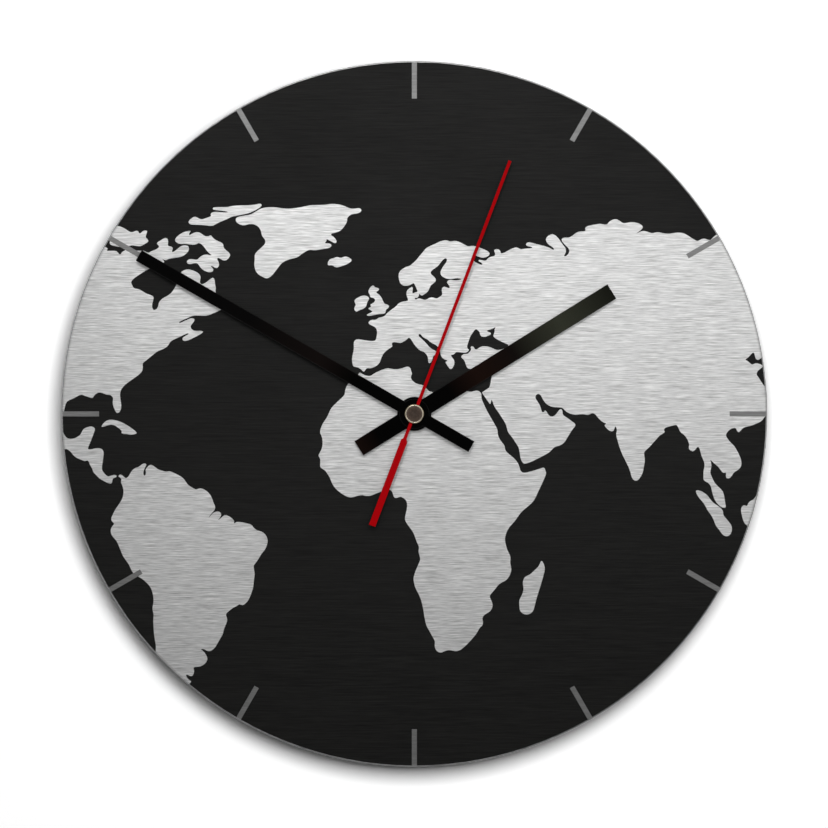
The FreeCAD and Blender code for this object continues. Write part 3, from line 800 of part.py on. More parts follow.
def make_dial():
    """Two metal skins on a plastic core, with a hole for the bushing."""
    layers = (("dial_back_skin", DIAL_BACK, "size.skin_thickness"),
              ("dial_core", DIAL_CORE_BACK, "size.dial_core_thickness"),
              ("dial_front_skin", DIAL_CORE_FRONT, "size.skin_thickness"))
    for label, back, thickness in layers:
        body = new_body(label)
        sketch = new_sketch(body)
        draw_circle(sketch, "size.dial_diameter")
        draw_circle(sketch, through_hole())
        pad(body, sketch, thickness)
        place(body, z=back)


def coast_face(points):
    """The face inside a coast: at each point a curve bends from the middle of one span to the next one's."""
    radius = number("size.dial_diameter / 2")
    corners = [FreeCAD.Vector(x * radius, y * radius, 0) for x, y in points]
    middles = [(corners[i - 1] + corner) * 0.5 for i, corner in enumerate(corners)]
    edges = []
    for i, corner in enumerate(corners):
        curve = Part.BezierCurve()
        curve.setPoles([middles[i], corner, middles[(i + 1) % len(corners)]])
        edges.append(curve.toShape())
    return Part.Face(Part.Wire(edges))


def mark_faces():
    """The hour bars, each cut round at the print's edge."""
    edge = Part.Face(Part.Wire(Part.makeCircle(number("size.dial_diameter / 2 - size.print_inset"))))
    width = number("size.mark_width")
    length = number("size.mark_length")
    inner = number("size.dial_diameter / 2 - size.mark_length")
    count = int(number("size.mark_count"))
    faces = []
    for i in range(count):
        bar = Part.makePlane(width, length, FreeCAD.Vector(-width / 2, inner, 0))
        bar.rotate(FreeCAD.Vector(0, 0, 0), FreeCAD.Vector(0, 0, 1), 360 * i / count)
        faces.append(bar.common(edge).Faces[0])
    return faces


def make_prints():
    """Ink on the front skin: the sea around the land, and the hour bars."""
    thickness = FreeCAD.Vector(0, 0, number("size.print_thickness"))
    outer = Part.Face(Part.Wire(Part.makeCircle(number("size.dial_diameter / 2 - size.print_inset"))))
    hole = Part.Face(Part.Wire(Part.makeCircle(number(f"({through_hole()}) / 2"))))
    marks = mark_faces()
    bar_group = Part.makeCompound([face.extrude(thickness) for face in marks])
    place(new_solid("hour_marks", bar_group), z=DIAL_FRONT)
    lands = [coast_face(points) for points in LAND_SHARES.values()]
    sea = outer.cut([hole] + lands)
    lakes = [coast_face(points) for points in LAKE_SHARES.values()]
    regions = []
    for face in sea.Faces + lakes:
        regions.extend(face.cut(marks).Faces)
    solids = [face.extrude(thickness) for face in regions]
    place(new_solid("sea_print", Part.makeCompound(solids)), z=DIAL_FRONT)


def make_clamp():
    """The washers, the nut and the bushing that hold the movement on the dial."""
    rubber = ring("rubber_washer", "size.rubber_diameter", through_hole(), "size.rubber_thickness")
    place(rubber, z=HANGER_FRONT)
    washer = ring("front_washer", "size.washer_diameter", through_hole(), "size.washer_thickness")
    place(washer, z=PRINT_FRONT)
    make_nut()
    bore = "(size.hour_pipe_diameter / 2 + size.running_gap)"
    thread = "(size.bushing_diameter / 2)"
    end = f"({BUSHING_FRONT} - {INNER_FRONT})"
    tip_bevel = f"({end} - size.thread_end / 2)"
    tip = f"({thread} - size.thread_end / 2)"
    bushing = lathe("shaft_bushing", [(bore, "0"), (thread, "0"), (thread, tip_bevel), (tip, end), (bore, end)])
    place(bushing, z=INNER_FRONT)


def make_nut():
    """A hexagon nut with its front corners turned off."""
    body = new_body("shaft_nut")
    sketch = new_sketch(body)
    corner = "size.nut_flats / sqrt(3)"
    draw_loop(sketch, [(f"({corner}) * cos({60 * i})", f"({corner}) * sin({60 * i})") for i in range(6)])
    draw_circle(sketch, "size.bushing_diameter + 2 * size.fit_gap")
    pad(body, sketch, "size.nut_thickness")
    groove = new_sketch(body, role="XZ_Plane")
    outside = f"({corner} + size.cut_overrun)"
    flat = "(size.nut_flats / 2 - size.nut_bevel / 2)"
    slope = f"(size.nut_thickness - ({outside} - {flat}) / 2)"
    draw_loop(groove, [(flat, "size.nut_thickness"), (outside, slope), (outside, "size.nut_thickness")])
    revolve(body, groove, "PartDesign::Groove")
    place(body, z=NUT_BACK)


def make_hanger():
    """A bent steel strip, clamped in front of the case, with a keyhole in its tab near the wall."""
    body = new_body("hanger_plate")
    sketch = new_sketch(body, role="YZ_Plane", height="-size.hanger_width / 2")
    shelf_low = "(size.case_height / 2 + size.hanger_case_gap)"
    shelf_high = f"({shelf_low} + size.hanger_thickness)"
    tab_back = "size.hanger_wall_gap"
    tab_front = "(size.hanger_wall_gap + size.hanger_thickness)"
    tab_top = f"({shelf_high} + size.hanger_tab)"
    draw_loop(sketch, [
        ("-size.hanger_foot", "size.case_depth"), ("-size.hanger_foot", HANGER_FRONT),
        (shelf_high, HANGER_FRONT), (shelf_high, tab_front), (tab_top, tab_front), (tab_top, tab_back),
        (shelf_low, tab_back), (shelf_low, "size.case_depth")])
    strip = pad(body, sketch, "size.hanger_width")
    bends = (((shelf_low, "size.case_depth"), (shelf_high, tab_front), "size.bend_radius"),
             ((shelf_high, HANGER_FRONT), (shelf_low, tab_back), "size.bend_radius + size.hanger_thickness"))
    feature = strip
    for first, second, radius in bends:
        spots = [(number(y), number(z)) for y, z in (first, second)]

        def at_bend(edge):
            """True for the edge of a bend, which runs across the strip."""
            middle = edge.CenterOfMass
            near = min(math.hypot(middle.y - y, middle.z - z) for y, z in spots)
            return edge.BoundBox.XLength > 0 and near < number("size.bend_radius") / 2

        feature = dress(body, "PartDesign::Fillet", feature, at_bend, "Radius", radius)

    def at_corner(edge):
        """True for a corner edge of the tab or of the foot."""
        ends = (number(tab_top), -number("size.hanger_foot"))
        middle = edge.CenterOfMass
        return is_upright(edge) and min(abs(middle.y - end) for end in ends) < number("size.bend_radius")

    dress(body, "PartDesign::Fillet", feature, at_corner, "Radius", "size.hanger_corner")
    shaft_hole = new_sketch(body, height=f"({HANGER_FRONT} - size.hanger_thickness)")
    draw_circle(shaft_hole, through_hole())
    pocket(body, shaft_hole, "size.hanger_thickness + size.cut_overrun")
    hole_y = f"({shelf_high} + size.keyhole_height)"
    slot_y = f"({hole_y} + size.keyhole_rise)"
    key_round = new_sketch(body)
    draw_circle(key_round, "size.keyhole_diameter", y=hole_y)
    pocket(body, key_round, tab_front)
    key_slot = new_sketch(body)
    half = "(size.keyhole_slot / 2)"
    draw_box(key_slot, f"-{half}", hole_y, half, slot_y)
    pocket(body, key_slot, tab_front)
    key_end = new_sketch(body)
    draw_circle(key_end, "size.keyhole_slot", y=slot_y)
    pocket(body, key_end, tab_front)
    place(body)


def make_case_front():
    """The moulded case: works above, battery bay below, posts for the bridge on its front wall."""
    body = new_body("case_front")
    outline = new_sketch(body)
    half_width = "(size.case_width / 2)"
    half_height = "(size.case_height / 2)"
    draw_box(outline, f"-{half_width}", f"-{half_height}", half_width, half_height)
    shell = pad(body, outline, "size.case_depth")
    dress(body, "PartDesign::Fillet", shell, is_upright, "Radius", "size.case_corner")
    works = new_sketch(body)
    draw_box(works, f"-{WORKS_HALF}", WORKS_BOTTOM, WORKS_HALF, WORKS_TOP)
    pocket(body, works, INNER_FRONT)
    rebate = new_sketch(body)
    rebate_half = f"({WORKS_HALF} + size.cover_lip)"
    draw_box(rebate, f"-{rebate_half}", WORKS_BOTTOM, rebate_half, f"({WORKS_TOP} + size.cover_lip)")
    pocket(body, rebate, "size.cover_thickness")
    bay = new_sketch(body)
    draw_box(bay, f"-{BAY_HALF}", BAY_BOTTOM, BAY_HALF, BAY_TOP)
    pocket(body, bay, INNER_FRONT)
    slots = new_sketch(body, height=f"({STRIP_BACK} - size.slot_gap)")
    inner = f"({STRIP_X} - size.slot_gap)"
    outer = f"({STRIP_X} + size.strip_thickness + size.slot_gap)"
    below = f"({BAY_TOP} - size.slot_gap)"
    above = f"({WORKS_BOTTOM} + size.slot_gap)"
    draw_box(slots, inner, below, outer, above)
    draw_box(slots, f"-{outer}", below, f"-{inner}", above)
    pocket(body, slots, "size.strip_width + 2 * size.slot_gap")
    thick = new_sketch(body, height=STATOR_FRONT)
    thin = new_sketch(body, height=BRIDGE_FRONT)
    pilot = new_sketch(body, height=BRIDGE_FRONT)
    for x, y in POSTS:
        draw_circle(thick, "size.post_diameter", x, y)
        draw_circle(thin, "size.post_tip_diameter", x, y)
        draw_circle(pilot, "size.screw_diameter + 2 * size.fit_gap", x, y)
    pad(body, thick, f"{INNER_FRONT} - {STATOR_FRONT}")
    pad(body, thin, f"{STATOR_FRONT} - {BRIDGE_FRONT}")
    pocket(body, pilot, "size.screw_length")
    shaft = new_sketch(body, height=INNER_FRONT)
    draw_circle(shaft, "size.bushing_diameter + 2 * size.fit_gap")
    pocket(body, shaft, "size.front_wall + size.cut_overrun")
    pivots = new_sketch(body, height=INNER_FRONT)
    for x, y in ARBORS:
        draw_circle(pivots, "size.arbor_diameter + 2 * size.pivot_gap", x, y)
    draw_circle(pivots, "size.stem_diameter + 2 * size.pivot_gap", SETTING_X, SETTING_Y)
    pocket(body, pivots, "size.pivot_depth + size.pivot_gap")
    place(body)


def make_case_back():
    """The back cover, in the case's rebate, with the opening for the setting knob."""
    body = new_body("case_back")
    outline = new_sketch(body)
    half = f"({WORKS_HALF} + size.cover_lip - size.cover_gap)"
    bottom = f"({WORKS_BOTTOM} + size.cover_gap)"
    top = f"({WORKS_TOP} + size.cover_lip - size.cover_gap)"
    draw_box(outline, f"-{half}", bottom, half, top)
    draw_circle(outline, "size.knob_diameter + 2 * size.knob_gap", SETTING_X, SETTING_Y)
    pad(body, outline, "size.cover_thickness")
    place(body)


def make_train_bridge():
    """The plate behind the wheels, with a hole for every arbor, the stem and the screws."""
    body = new_body("train_bridge")
    outline = new_sketch(body)
    half = "(size.bridge_width / 2)"
    draw_box(outline, f"-{half}", "-size.bridge_bottom", half, "size.bridge_top")
    plate = pad(body, outline, "size.bridge_thickness")
    dress(body, "PartDesign::Fillet", plate, is_upright, "Radius", "size.bridge_corner")
    holes = new_sketch(body)
    draw_circle(holes, "size.second_arbor_diameter + 2 * size.pivot_gap")
    for x, y in ARBORS:
        draw_circle(holes, "size.arbor_diameter + 2 * size.pivot_gap", x, y)
    draw_circle(holes, "size.stem_diameter + 2 * size.stem_gap", SETTING_X, SETTING_Y)
    for x, y in POSTS:
        draw_circle(holes, "size.screw_diameter + 2 * size.hole_clearance", x, y)
    pocket(body, holes, "size.bridge_thickness")
    place(body, z=BRIDGE_BACK)


def make_bridge_screws():
    """Four slotted screws, through the bridge into the posts."""
    head_back = f"({BRIDGE_BACK} - size.screw_head_height)"
    slot_front = f"({head_back} + size.screw_slot)"
    half = "(size.screw_slot / 2)"
    screws = []
    for x, y in POSTS:
        head = cylinder("size.screw_head_diameter", head_back, BRIDGE_BACK, x, y)
        shank = cylinder("size.screw_diameter", BRIDGE_BACK, f"({BRIDGE_BACK} + size.screw_length)", x, y)
        slot = block(f"{x} - size.screw_head_diameter", f"{x} + size.screw_head_diameter",
                     f"{y} - {half}", f"{y} + {half}", head_back, slot_front)
        screws.append(head.fuse(shank).cut(slot))
    place(new_solid("bridge_screws", Part.makeCompound(screws)))


def make_motor():
    """The stepping motor's iron, coil and bobbin; its rotor is one of the wheels."""
    body = new_body("stator")
    sketch = new_sketch(body)
    half = "(size.stator_width / 2)"
    inside = f"({half} - size.stator_leg)"
    bar_top = f"({STATOR_BOTTOM} + size.stator_bar)"
    leg_top = f"({STATOR_BOTTOM} + size.stator_height)"
    draw_loop(sketch, [
        (f"-{half}", STATOR_BOTTOM), (half, STATOR_BOTTOM), (half, leg_top), (inside, leg_top),
        (inside, bar_top), (f"-{inside}", bar_top), (f"-{inside}", leg_top), (f"-{half}", leg_top)])
    draw_circle(sketch, "size.magnet_diameter + 2 * size.magnet_gap", ROTOR_X, ROTOR_Y)
    for x, y in POSTS:
        if "post_top" in y:
            draw_circle(sketch, "size.post_tip_diameter + 2 * size.hole_clearance", x, y)
    pad(body, sketch, "size.stator_thickness")
    place(body, z=STATOR_BACK)

    core_half = "(size.coil_core_length / 2)"
    core_low = "(size.coil_height - size.coil_core_width / 2)"
    core = document.addObject("Part::Box", "coil_core")
    core.setExpression("Length", "size.coil_core_length")
    core.setExpression("Width", "size.coil_core_width")
    core.setExpression("Height", "size.stator_thickness")
    place(core, f"-{core_half}", core_low, STATOR_FRONT)

    coil_z = f"({STATOR_FRONT} + size.stator_thickness / 2)"
    end = "size.bobbin_length"
    flange = "size.bobbin_flange"
    tube = "(size.bobbin_diameter / 2)"
    rim = "(size.bobbin_flange_diameter / 2)"
    turned = Part.makeCylinder(number(tube), number(end))
    for foot in ("0", f"({end} - {flange})"):
        turned = turned.fuse(Part.makeCylinder(number(rim), number(flange), FreeCAD.Vector(0, 0, number(foot))))
    opening = Part.makeBox(number("size.stator_thickness + 2 * size.core_gap"),
                           number("size.coil_core_width + 2 * size.core_gap"), number(end),
                           FreeCAD.Vector(-number("size.stator_thickness / 2 + size.core_gap"),
                                          -number("size.coil_core_width / 2 + size.core_gap"), 0))
    opening.rotate(FreeCAD.Vector(0, 0, 0), FreeCAD.Vector(0, 0, 1), 90)
    lay_along_x(new_solid("coil_bobbin", turned.cut(opening)), f"-{end} / 2", "size.coil_height", coil_z)

    winding = ring("coil_winding", "size.winding_diameter", "size.bobbin_diameter + 2 * size.fit_gap",
                   f"{end} - 2 * {flange} - 2 * size.fit_gap")
    lay_along_x(winding, f"-{end} / 2 + {flange} + size.fit_gap", "size.coil_height", coil_z)


def make_electronics():
    """The circuit board against the front wall, with its crystal and its covered chip."""
    board = document.addObject("Part::Box", "circuit_board")
    board.setExpression("Length", "size.board_width")
    board.setExpression("Width", "size.board_height")
    board.setExpression("Height", "size.board_thickness")
    place(board, BOARD_LEFT, BOARD_BOTTOM, BOARD_BACK)
    middle = f"({BOARD_LEFT} + size.board_width / 2)"
    crystal_z = f"({BOARD_BACK} - size.crystal_diameter / 2 - size.fit_gap)"
    crystal_y = f"({BOARD_BOTTOM} + size.crystal_height)"
    crystal = document.addObject("Part::Cylinder", "quartz_crystal")
    crystal.setExpression("Radius", "size.crystal_diameter / 2")
    crystal.setExpression("Height", "size.crystal_length")
    spot = f"vector({middle}; -{crystal_z}; {crystal_y})"
    crystal.setExpression("Placement", f"placement({spot}; rotationz(0))")
    exported.append(crystal)
    profile = [(f"size.chip_diameter / 2 * {wide_share}", f"-size.chip_thickness * {high_share}")
               for wide_share, high_share in CHIP_PROFILE_SHARES]
    place(lathe("clock_chip", profile), middle, f"({BOARD_BOTTOM} + size.chip_height)", BOARD_BACK)


def make_contacts():
    """Two spring strips, from the battery's ends through the partition to the circuit board."""
    thick = "size.strip_thickness"
    strip_front = f"({STRIP_BACK} + size.strip_width)"
    wall_low = f"({WORKS_BOTTOM} + {thick})"
    wall_high = f"({WORKS_BOTTOM} + 2 * {thick})"
    plate_back = f"({BATTERY_Z} - size.contact_width / 2)"
    plate_front = f"({BATTERY_Z} + size.contact_width / 2)"
    plate_low = f"({BATTERY_Y} - size.contact_width / 2)"
    plate_high = f"({BATTERY_Y} + size.contact_width / 2)"
    right = f"({STRIP_X} + {thick})"
    board_right = f"({BOARD_LEFT} + size.board_width)"
    tab_left = f"({board_right} - size.strip_width)"
    positive = block(STRIP_X, right, plate_low, plate_high, plate_back, plate_front)
    positive = positive.fuse([
        block(STRIP_X, right, plate_low, wall_high, STRIP_BACK, strip_front),
        block(tab_left, right, wall_low, wall_high, STRIP_BACK, strip_front),
        block(tab_left, board_right, wall_low, wall_high, STRIP_BACK, BOARD_BACK)])
    place(new_solid("contact_positive", positive.removeSplitter()))

    body = new_body("contact_negative")
    bowed = new_sketch(body, height=STRIP_BACK)
    near = f"(-{STRIP_X})"
    far = f"(-{STRIP_X} - size.contact_spring)"
    spring_top = f"({plate_high} + size.contact_spring)"
    line = [(far, plate_low), (near, BATTERY_Y), (far, plate_high), (near, spring_top), (near, wall_high)]
    back_line = [(f"({x} - {thick})", y) for x, y in reversed(line)]
    draw_loop(bowed, line + back_line)
    pad(body, bowed, "size.strip_width")
    tab = new_sketch(body, height=STRIP_BACK)
    draw_box(tab, near, wall_low, f"({BOARD_LEFT} + size.strip_width / 2)", wall_high)
    pad(body, tab, f"{BOARD_BACK} - {STRIP_BACK}")
    place(body)


def make_battery():
    """One round cell in a plastic sleeve, lying across the bottom of the case."""
    can = "(size.battery_diameter / 2 - size.sleeve_thickness)"
    button = "(size.button_diameter / 2)"
    shoulder = "(size.battery_length - size.button_height)"
    cell = lathe("battery_cell", [
        ("0", "0"), (can, "0"), (can, shoulder), (button, shoulder), (button, "size.battery_length"),
        ("0", "size.battery_length")])
    lay_along_x(cell, "-size.battery_length / 2", BATTERY_Y, BATTERY_Z)
    sleeve = ring("battery_sleeve", "size.battery_diameter",
                  "size.battery_diameter - 2 * size.sleeve_thickness + 2 * size.fit_gap", shoulder)
    lay_along_x(sleeve, "-size.battery_length / 2", BATTERY_Y, BATTERY_Z)


def make_setting_knob():
    """The knurled knob at the back of the case, on a stem that carries the setting gear."""
    stem = "(size.stem_diameter / 2)"
    knob = "(size.knob_diameter / 2)"
    bevel = "size.knob_bevel"
    end = f"({PIVOT_FRONT} - size.knob_wall_gap)"
    body = lathe("set_knob", [
        ("0", "0"), (f"({knob} - {bevel})", "0"), (knob, bevel), (knob, f"(size.knob_height - {bevel})"),
        (f"({knob} - {bevel})", "size.knob_height"), (stem, "size.knob_height"), (stem, end), ("0", end)])
    groove = new_sketch(body)
    draw_circle(groove, "size.knurl_diameter", x=knob)
    cut = pocket(body, groove, "size.knob_height")
    knurl = body.newObject("PartDesign::PolarPattern", "knurl")
    knurl.Originals = [cut]
    axis = [feature for feature in body.Origin.OriginFeatures if feature.Role == "Z_Axis"][0]
    knurl.Axis = (axis, [""])
    knurl.Angle = 360
    knurl.setExpression("Occurrences", "size.knurl_count")
    body.Tip = knurl
    place(body, SETTING_X, SETTING_Y, "size.knob_wall_gap")


def overlap_back(plane):
    """Back of a pinion that works with the wheel in a plane."""
    return f"({plane_back(plane)} - size.pinion_overlap)"


def overlap_front(plane):
    """Front of a pinion that works with the wheel in a plane."""
    return f"({plane_back(plane)} + size.wheel_thickness + size.pinion_overlap)"


def wheel_in(plane, teeth, module, phase):
    """The toothed rim of a wheel in its plane."""
    back = plane_back(plane)
    return toothed(teeth, module, phase, back, f"({back} + size.wheel_thickness)")


def make_wheels():
    """The train from the rotor to the hour hand, each wheel in mesh with the next at rest."""
    count = {name: int(number(f"size.{name}_teeth")) for name in (
        "rotor", "intermediate", "intermediate_pinion", "second", "second_pinion", "third", "third_pinion",
        "centre", "cannon", "minute", "minute_pinion", "hour", "setting")}
    third_bearing = number("size.third_bearing")
    minute_bearing = number("size.minute_bearing")
    middle_bearing = number("size.intermediate_bearing")
    rotor_bearing = number("size.rotor_bearing")
    setting_bearing = number("size.setting_bearing")
    arbor = cylinder("size.arbor_diameter", BRIDGE_BACK, PIVOT_FRONT)

    module = module_of("size.rotor_distance", count["rotor"], count["intermediate"])
    phase = meshing_phase(0, count["intermediate"], rotor_bearing, count["rotor"])
    pinion = toothed(count["rotor"], module, phase, overlap_back(INTERMEDIATE_PLANE),
                     overlap_front(INTERMEDIATE_PLANE))
    place(new_solid("rotor_pinion", pinion.fuse(arbor)), ROTOR_X, ROTOR_Y)
    wheel = wheel_in(INTERMEDIATE_PLANE, count["intermediate"], module, 0)

    module = module_of("size.intermediate_distance", count["intermediate_pinion"], count["second"])
    pinion = toothed(count["intermediate_pinion"], module,
                     meshing_phase(0, count["second"], middle_bearing, count["intermediate_pinion"]),
                     plane_back(INTERMEDIATE_PLANE), overlap_front(SECOND_PLANE))
    place(new_solid("intermediate_wheel", wheel.fuse([pinion, arbor])), INTERMEDIATE_X, INTERMEDIATE_Y)
    wheel = wheel_in(SECOND_PLANE, count["second"], module, 0)

    module = module_of("size.third_distance", count["second_pinion"], count["third"])
    pinion = toothed(count["second_pinion"], module, 0, plane_back(SECOND_PLANE), overlap_front(THIRD_PLANE))
    bore = cylinder("size.second_arbor_diameter + 2 * size.fit_gap", "0", "size.case_depth")
    place(new_solid("second_wheel", wheel.fuse(pinion).cut(bore)))
    wheel = wheel_in(THIRD_PLANE, count["third"], module,
                     meshing_phase(0, count["second_pinion"], third_bearing, count["third"]))

    module = module_of("size.third_distance", count["third_pinion"], count["centre"])
    pinion = toothed(count["third_pinion"], module, 0, plane_back(THIRD_PLANE), overlap_front(CENTRE_PLANE))
    place(new_solid("third_wheel", wheel.fuse([pinion, arbor])), THIRD_X, THIRD_Y)
    wheel = wheel_in(CENTRE_PLANE, count["centre"], module,
                     meshing_phase(0, count["third_pinion"], third_bearing + 180, count["centre"]))
    bore = cylinder("size.minute_tube_diameter + 2 * size.fit_gap", "0", "size.case_depth")
    place(new_solid("centre_gear", wheel.cut(bore)))

    module = module_of("size.minute_distance", count["cannon"], count["minute"])
    cannon = toothed(count["cannon"], module, 0, overlap_back(MINUTE_PLANE), overlap_front(MINUTE_PLANE))
    tube = cylinder("size.minute_tube_diameter", overlap_back(CENTRE_PLANE), MINUTE_HAND_FRONT)
    bore = cylinder("size.second_arbor_diameter + 2 * size.running_gap", "0", MINUTE_HAND_FRONT)
    place(new_solid("minute_arbor", cannon.fuse(tube).cut(bore)))
    minute_phase = meshing_phase(0, count["cannon"], minute_bearing, count["minute"])
    wheel = wheel_in(MINUTE_PLANE, count["minute"], module, minute_phase)
    setting_module = 2 * number("size.setting_distance") / (count["minute"] + count["setting"])
    setting = wheel_in(MINUTE_PLANE, count["setting"], setting_module,
                       meshing_phase(minute_phase, count["minute"], setting_bearing, count["setting"]))
    bore = cylinder("size.stem_diameter + 2 * size.fit_gap", "0", "size.case_depth")
    place(new_solid("set_gear", setting.cut(bore)), SETTING_X, SETTING_Y)

    module = module_of("size.minute_distance", count["minute_pinion"], count["hour"])
    pinion = toothed(count["minute_pinion"], module, 0, plane_back(MINUTE_PLANE), overlap_front(HOUR_PLANE))
    place(new_solid("minute_wheel", wheel.fuse([pinion, arbor])), MINUTE_X, MINUTE_Y)
    wheel = wheel_in(HOUR_PLANE, count["hour"], module,
                     meshing_phase(0, count["minute_pinion"], minute_bearing + 180, count["hour"]))
    pipe = cylinder("size.hour_pipe_diameter", overlap_back(HOUR_PLANE), HOUR_HAND_FRONT)
    bore = cylinder("size.minute_tube_diameter + 2 * size.running_gap", "0", HOUR_HAND_FRONT)
    place(new_solid("hour_wheel", wheel.fuse(pipe).cut(bore)))

    magnet = ring("rotor_magnet", "size.magnet_diameter", "size.arbor_diameter + 2 * size.fit_gap",
                  "size.magnet_length")
    place(magnet, ROTOR_X, ROTOR_Y, MAGNET_BACK)
    staff = document.addObject("Part::Cylinder", "second_arbor")
    staff.setExpression("Radius", "size.second_arbor_diameter / 2")
    staff.setExpression("Height", f"{SECOND_HAND_FRONT} - {BRIDGE_BACK}")
    place(staff, z=BRIDGE_BACK)


def bevel_front(body, thickness, hole):
    """Bevels a hand's front edges, except around its hole."""
    front = number(thickness)
    hole_width = number(hole)

    def on_front(edge):
        """True for an outer edge of the front face."""
        box = edge.BoundBox
        flat = box.ZLength < front / 2 and box.ZMin > front / 2
        is_hole = edge.Closed and abs(box.XLength - hole_width) < hole_width / 10
        return flat and not is_hole

    dress(body, "PartDesign::Chamfer", body.Tip, on_front, "Size", "size.hand_bevel")


def make_broad_hand(name, back, hole):
    """An hour or minute hand: a straight blade with square ends and a round hub."""
    body = new_body(f"{name}_hand")
    blade = new_sketch(body)
    half = f"(size.{name}_hand_width / 2)"
    draw_box(blade, f"-{half}", f"-size.{name}_hand_tail", half, f"size.{name}_hand_length")
    pad(body, blade, "size.hand_thickness")
    hub = new_sketch(body)
    draw_circle(hub, f"size.{name}_hub_diameter")
    pad(body, hub, "size.hand_thickness")
    opening = new_sketch(body)
    draw_circle(opening, hole)
    pocket(body, opening, "size.hand_thickness")
    bevel_front(body, "size.hand_thickness", hole)
    place(body, z=back, turn=f"size.{name}_hand_angle")


def make_collar(name, pipe, back):
    """The turned collar that holds a hand on its pipe: a flange behind the hand and a neck through it."""
    bore = f"({pipe} / 2 + size.fit_gap)"
    neck = f"({bore} + size.collar_wall)"
    flange = f"({neck} + size.collar_rim)"
    front = "(size.collar_flange + size.hand_thickness)"
    collar = lathe(f"{name}_hand_collar", [
        (bore, "0"), (flange, "0"), (flange, "size.collar_flange"), (neck, "size.collar_flange"),
        (neck, front), (bore, front)])
    place(collar, z=f"({back} - size.collar_flange)")
    return f"2 * ({neck} + size.fit_gap)"


def make_second_hand():
    """The thin second hand with its weight, its bush and its polished cap."""
    body = new_body("second_hand")
    outline = new_sketch(body)
    thin = "(size.second_hand_width / 2)"
    broad = "(size.second_weight_width / 2)"
    shoulder = "(size.second_neck_length + size.second_shoulder)"
    right_side = [(broad, "-size.second_tail_length"), (broad, f"-{shoulder}"),
                  (thin, "-size.second_neck_length"), (thin, "size.second_hand_length")]
    left_side = [(f"-{x}", y) for x, y in reversed(right_side)]
    draw_loop(outline, right_side + left_side)
    pad(body, outline, "size.second_hand_thickness")
    hub = new_sketch(body)
    draw_circle(hub, "size.second_hub_diameter")
    pad(body, hub, "size.second_hand_thickness")
    opening = new_sketch(body)
    neck = "(size.second_arbor_diameter / 2 + size.fit_gap + size.collar_wall)"
    hole = f"2 * ({neck} + size.fit_gap)"
    draw_circle(opening, hole)
    pocket(body, opening, "size.second_hand_thickness")
    bevel_front(body, "size.second_hand_thickness", hole)
    place(body, z=SECOND_HAND_BACK, turn="size.second_hand_angle")

    bore = "(size.second_arbor_diameter / 2 + size.fit_gap)"
    foot = f"({neck} + size.collar_wall)"
    front = "(size.bush_height + size.second_hand_thickness)"
    bush = lathe("second_hand_bush", [
        (bore, "0"), (foot, "0"), (foot, "size.bush_height"), (neck, "size.bush_height"), (neck, front),
        (bore, front)])
    place(bush, z=f"({SECOND_HAND_BACK} - size.bush_height)")

    edge = "(size.cap_diameter / 2)"
    flat = "(size.cap_flat_diameter / 2)"
    side = "(size.cap_height / 2)"
    round_in = f"(({edge} + {flat}) / 2)"
    crest = "(size.cap_height - size.hand_bevel)"
    cap = lathe("second_hand_cap", [
        ("0", "0"), (edge, "0"), (edge, side), (round_in, "size.cap_height"), (flat, "size.cap_height"),
        (f"({flat} - size.hand_bevel)", crest), ("0", crest)])
    place(cap, z=SECOND_HAND_FRONT)


def make_hands():
    """The three hands with what holds them on their pipes."""
    hour_hole = make_collar("hour", "size.hour_pipe_diameter", HOUR_HAND_BACK)
    make_broad_hand("hour", HOUR_HAND_BACK, hour_hole)
    minute_hole = make_collar("minute", "size.minute_tube_diameter", MINUTE_HAND_BACK)
    make_broad_hand("minute", MINUTE_HAND_BACK, minute_hole)
    make_second_hand()


def check_document():
    """Stops if an object failed, if a cut removed nothing or if a piece isn't a sound solid."""
    document.recompute()
    for item in document.Objects:
        if "Invalid" in item.State or "Error" in item.State:
            raise RuntimeError(f"{item.Label} failed: {item.State}")
        if item.TypeId in ("PartDesign::Pocket", "PartDesign::Groove"):
            if item.Shape.Volume >= item.BaseFeature.Shape.Volume:
                raise RuntimeError(f"{item.Name} cut nothing")
    for piece in exported:
        shape = piece.Shape
        if shape.isNull() or not shape.isValid() or not shape.Solids:
            raise RuntimeError(f"{piece.Label} isn't a sound solid")


make_dial()
make_prints()
make_clamp()
make_hanger()
make_case_front()
make_case_back()
make_train_bridge()
make_bridge_screws()
make_motor()
make_electronics()
make_contacts()
make_battery()
make_setting_knob()
make_wheels()
make_hands()
check_document()

os.makedirs("parts", exist_ok=True)
for piece in exported:
    piece.Shape.exportStep(f"parts/{piece.Label}.step")
print(f"{len(exported)} pieces")
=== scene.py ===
"""World map wall clock: its finishes, its turned and wound pieces, and the wall it hangs on.

The clock hangs on the plane y = 0 with its dial facing -y, x to the right and z up, all in metres. Sizes
that belong to a piece of the frame are read from that piece.
"""

from __future__ import annotations

import json
import logging
import math
from dataclasses import dataclass
from enum import Enum
from typing import Sequence

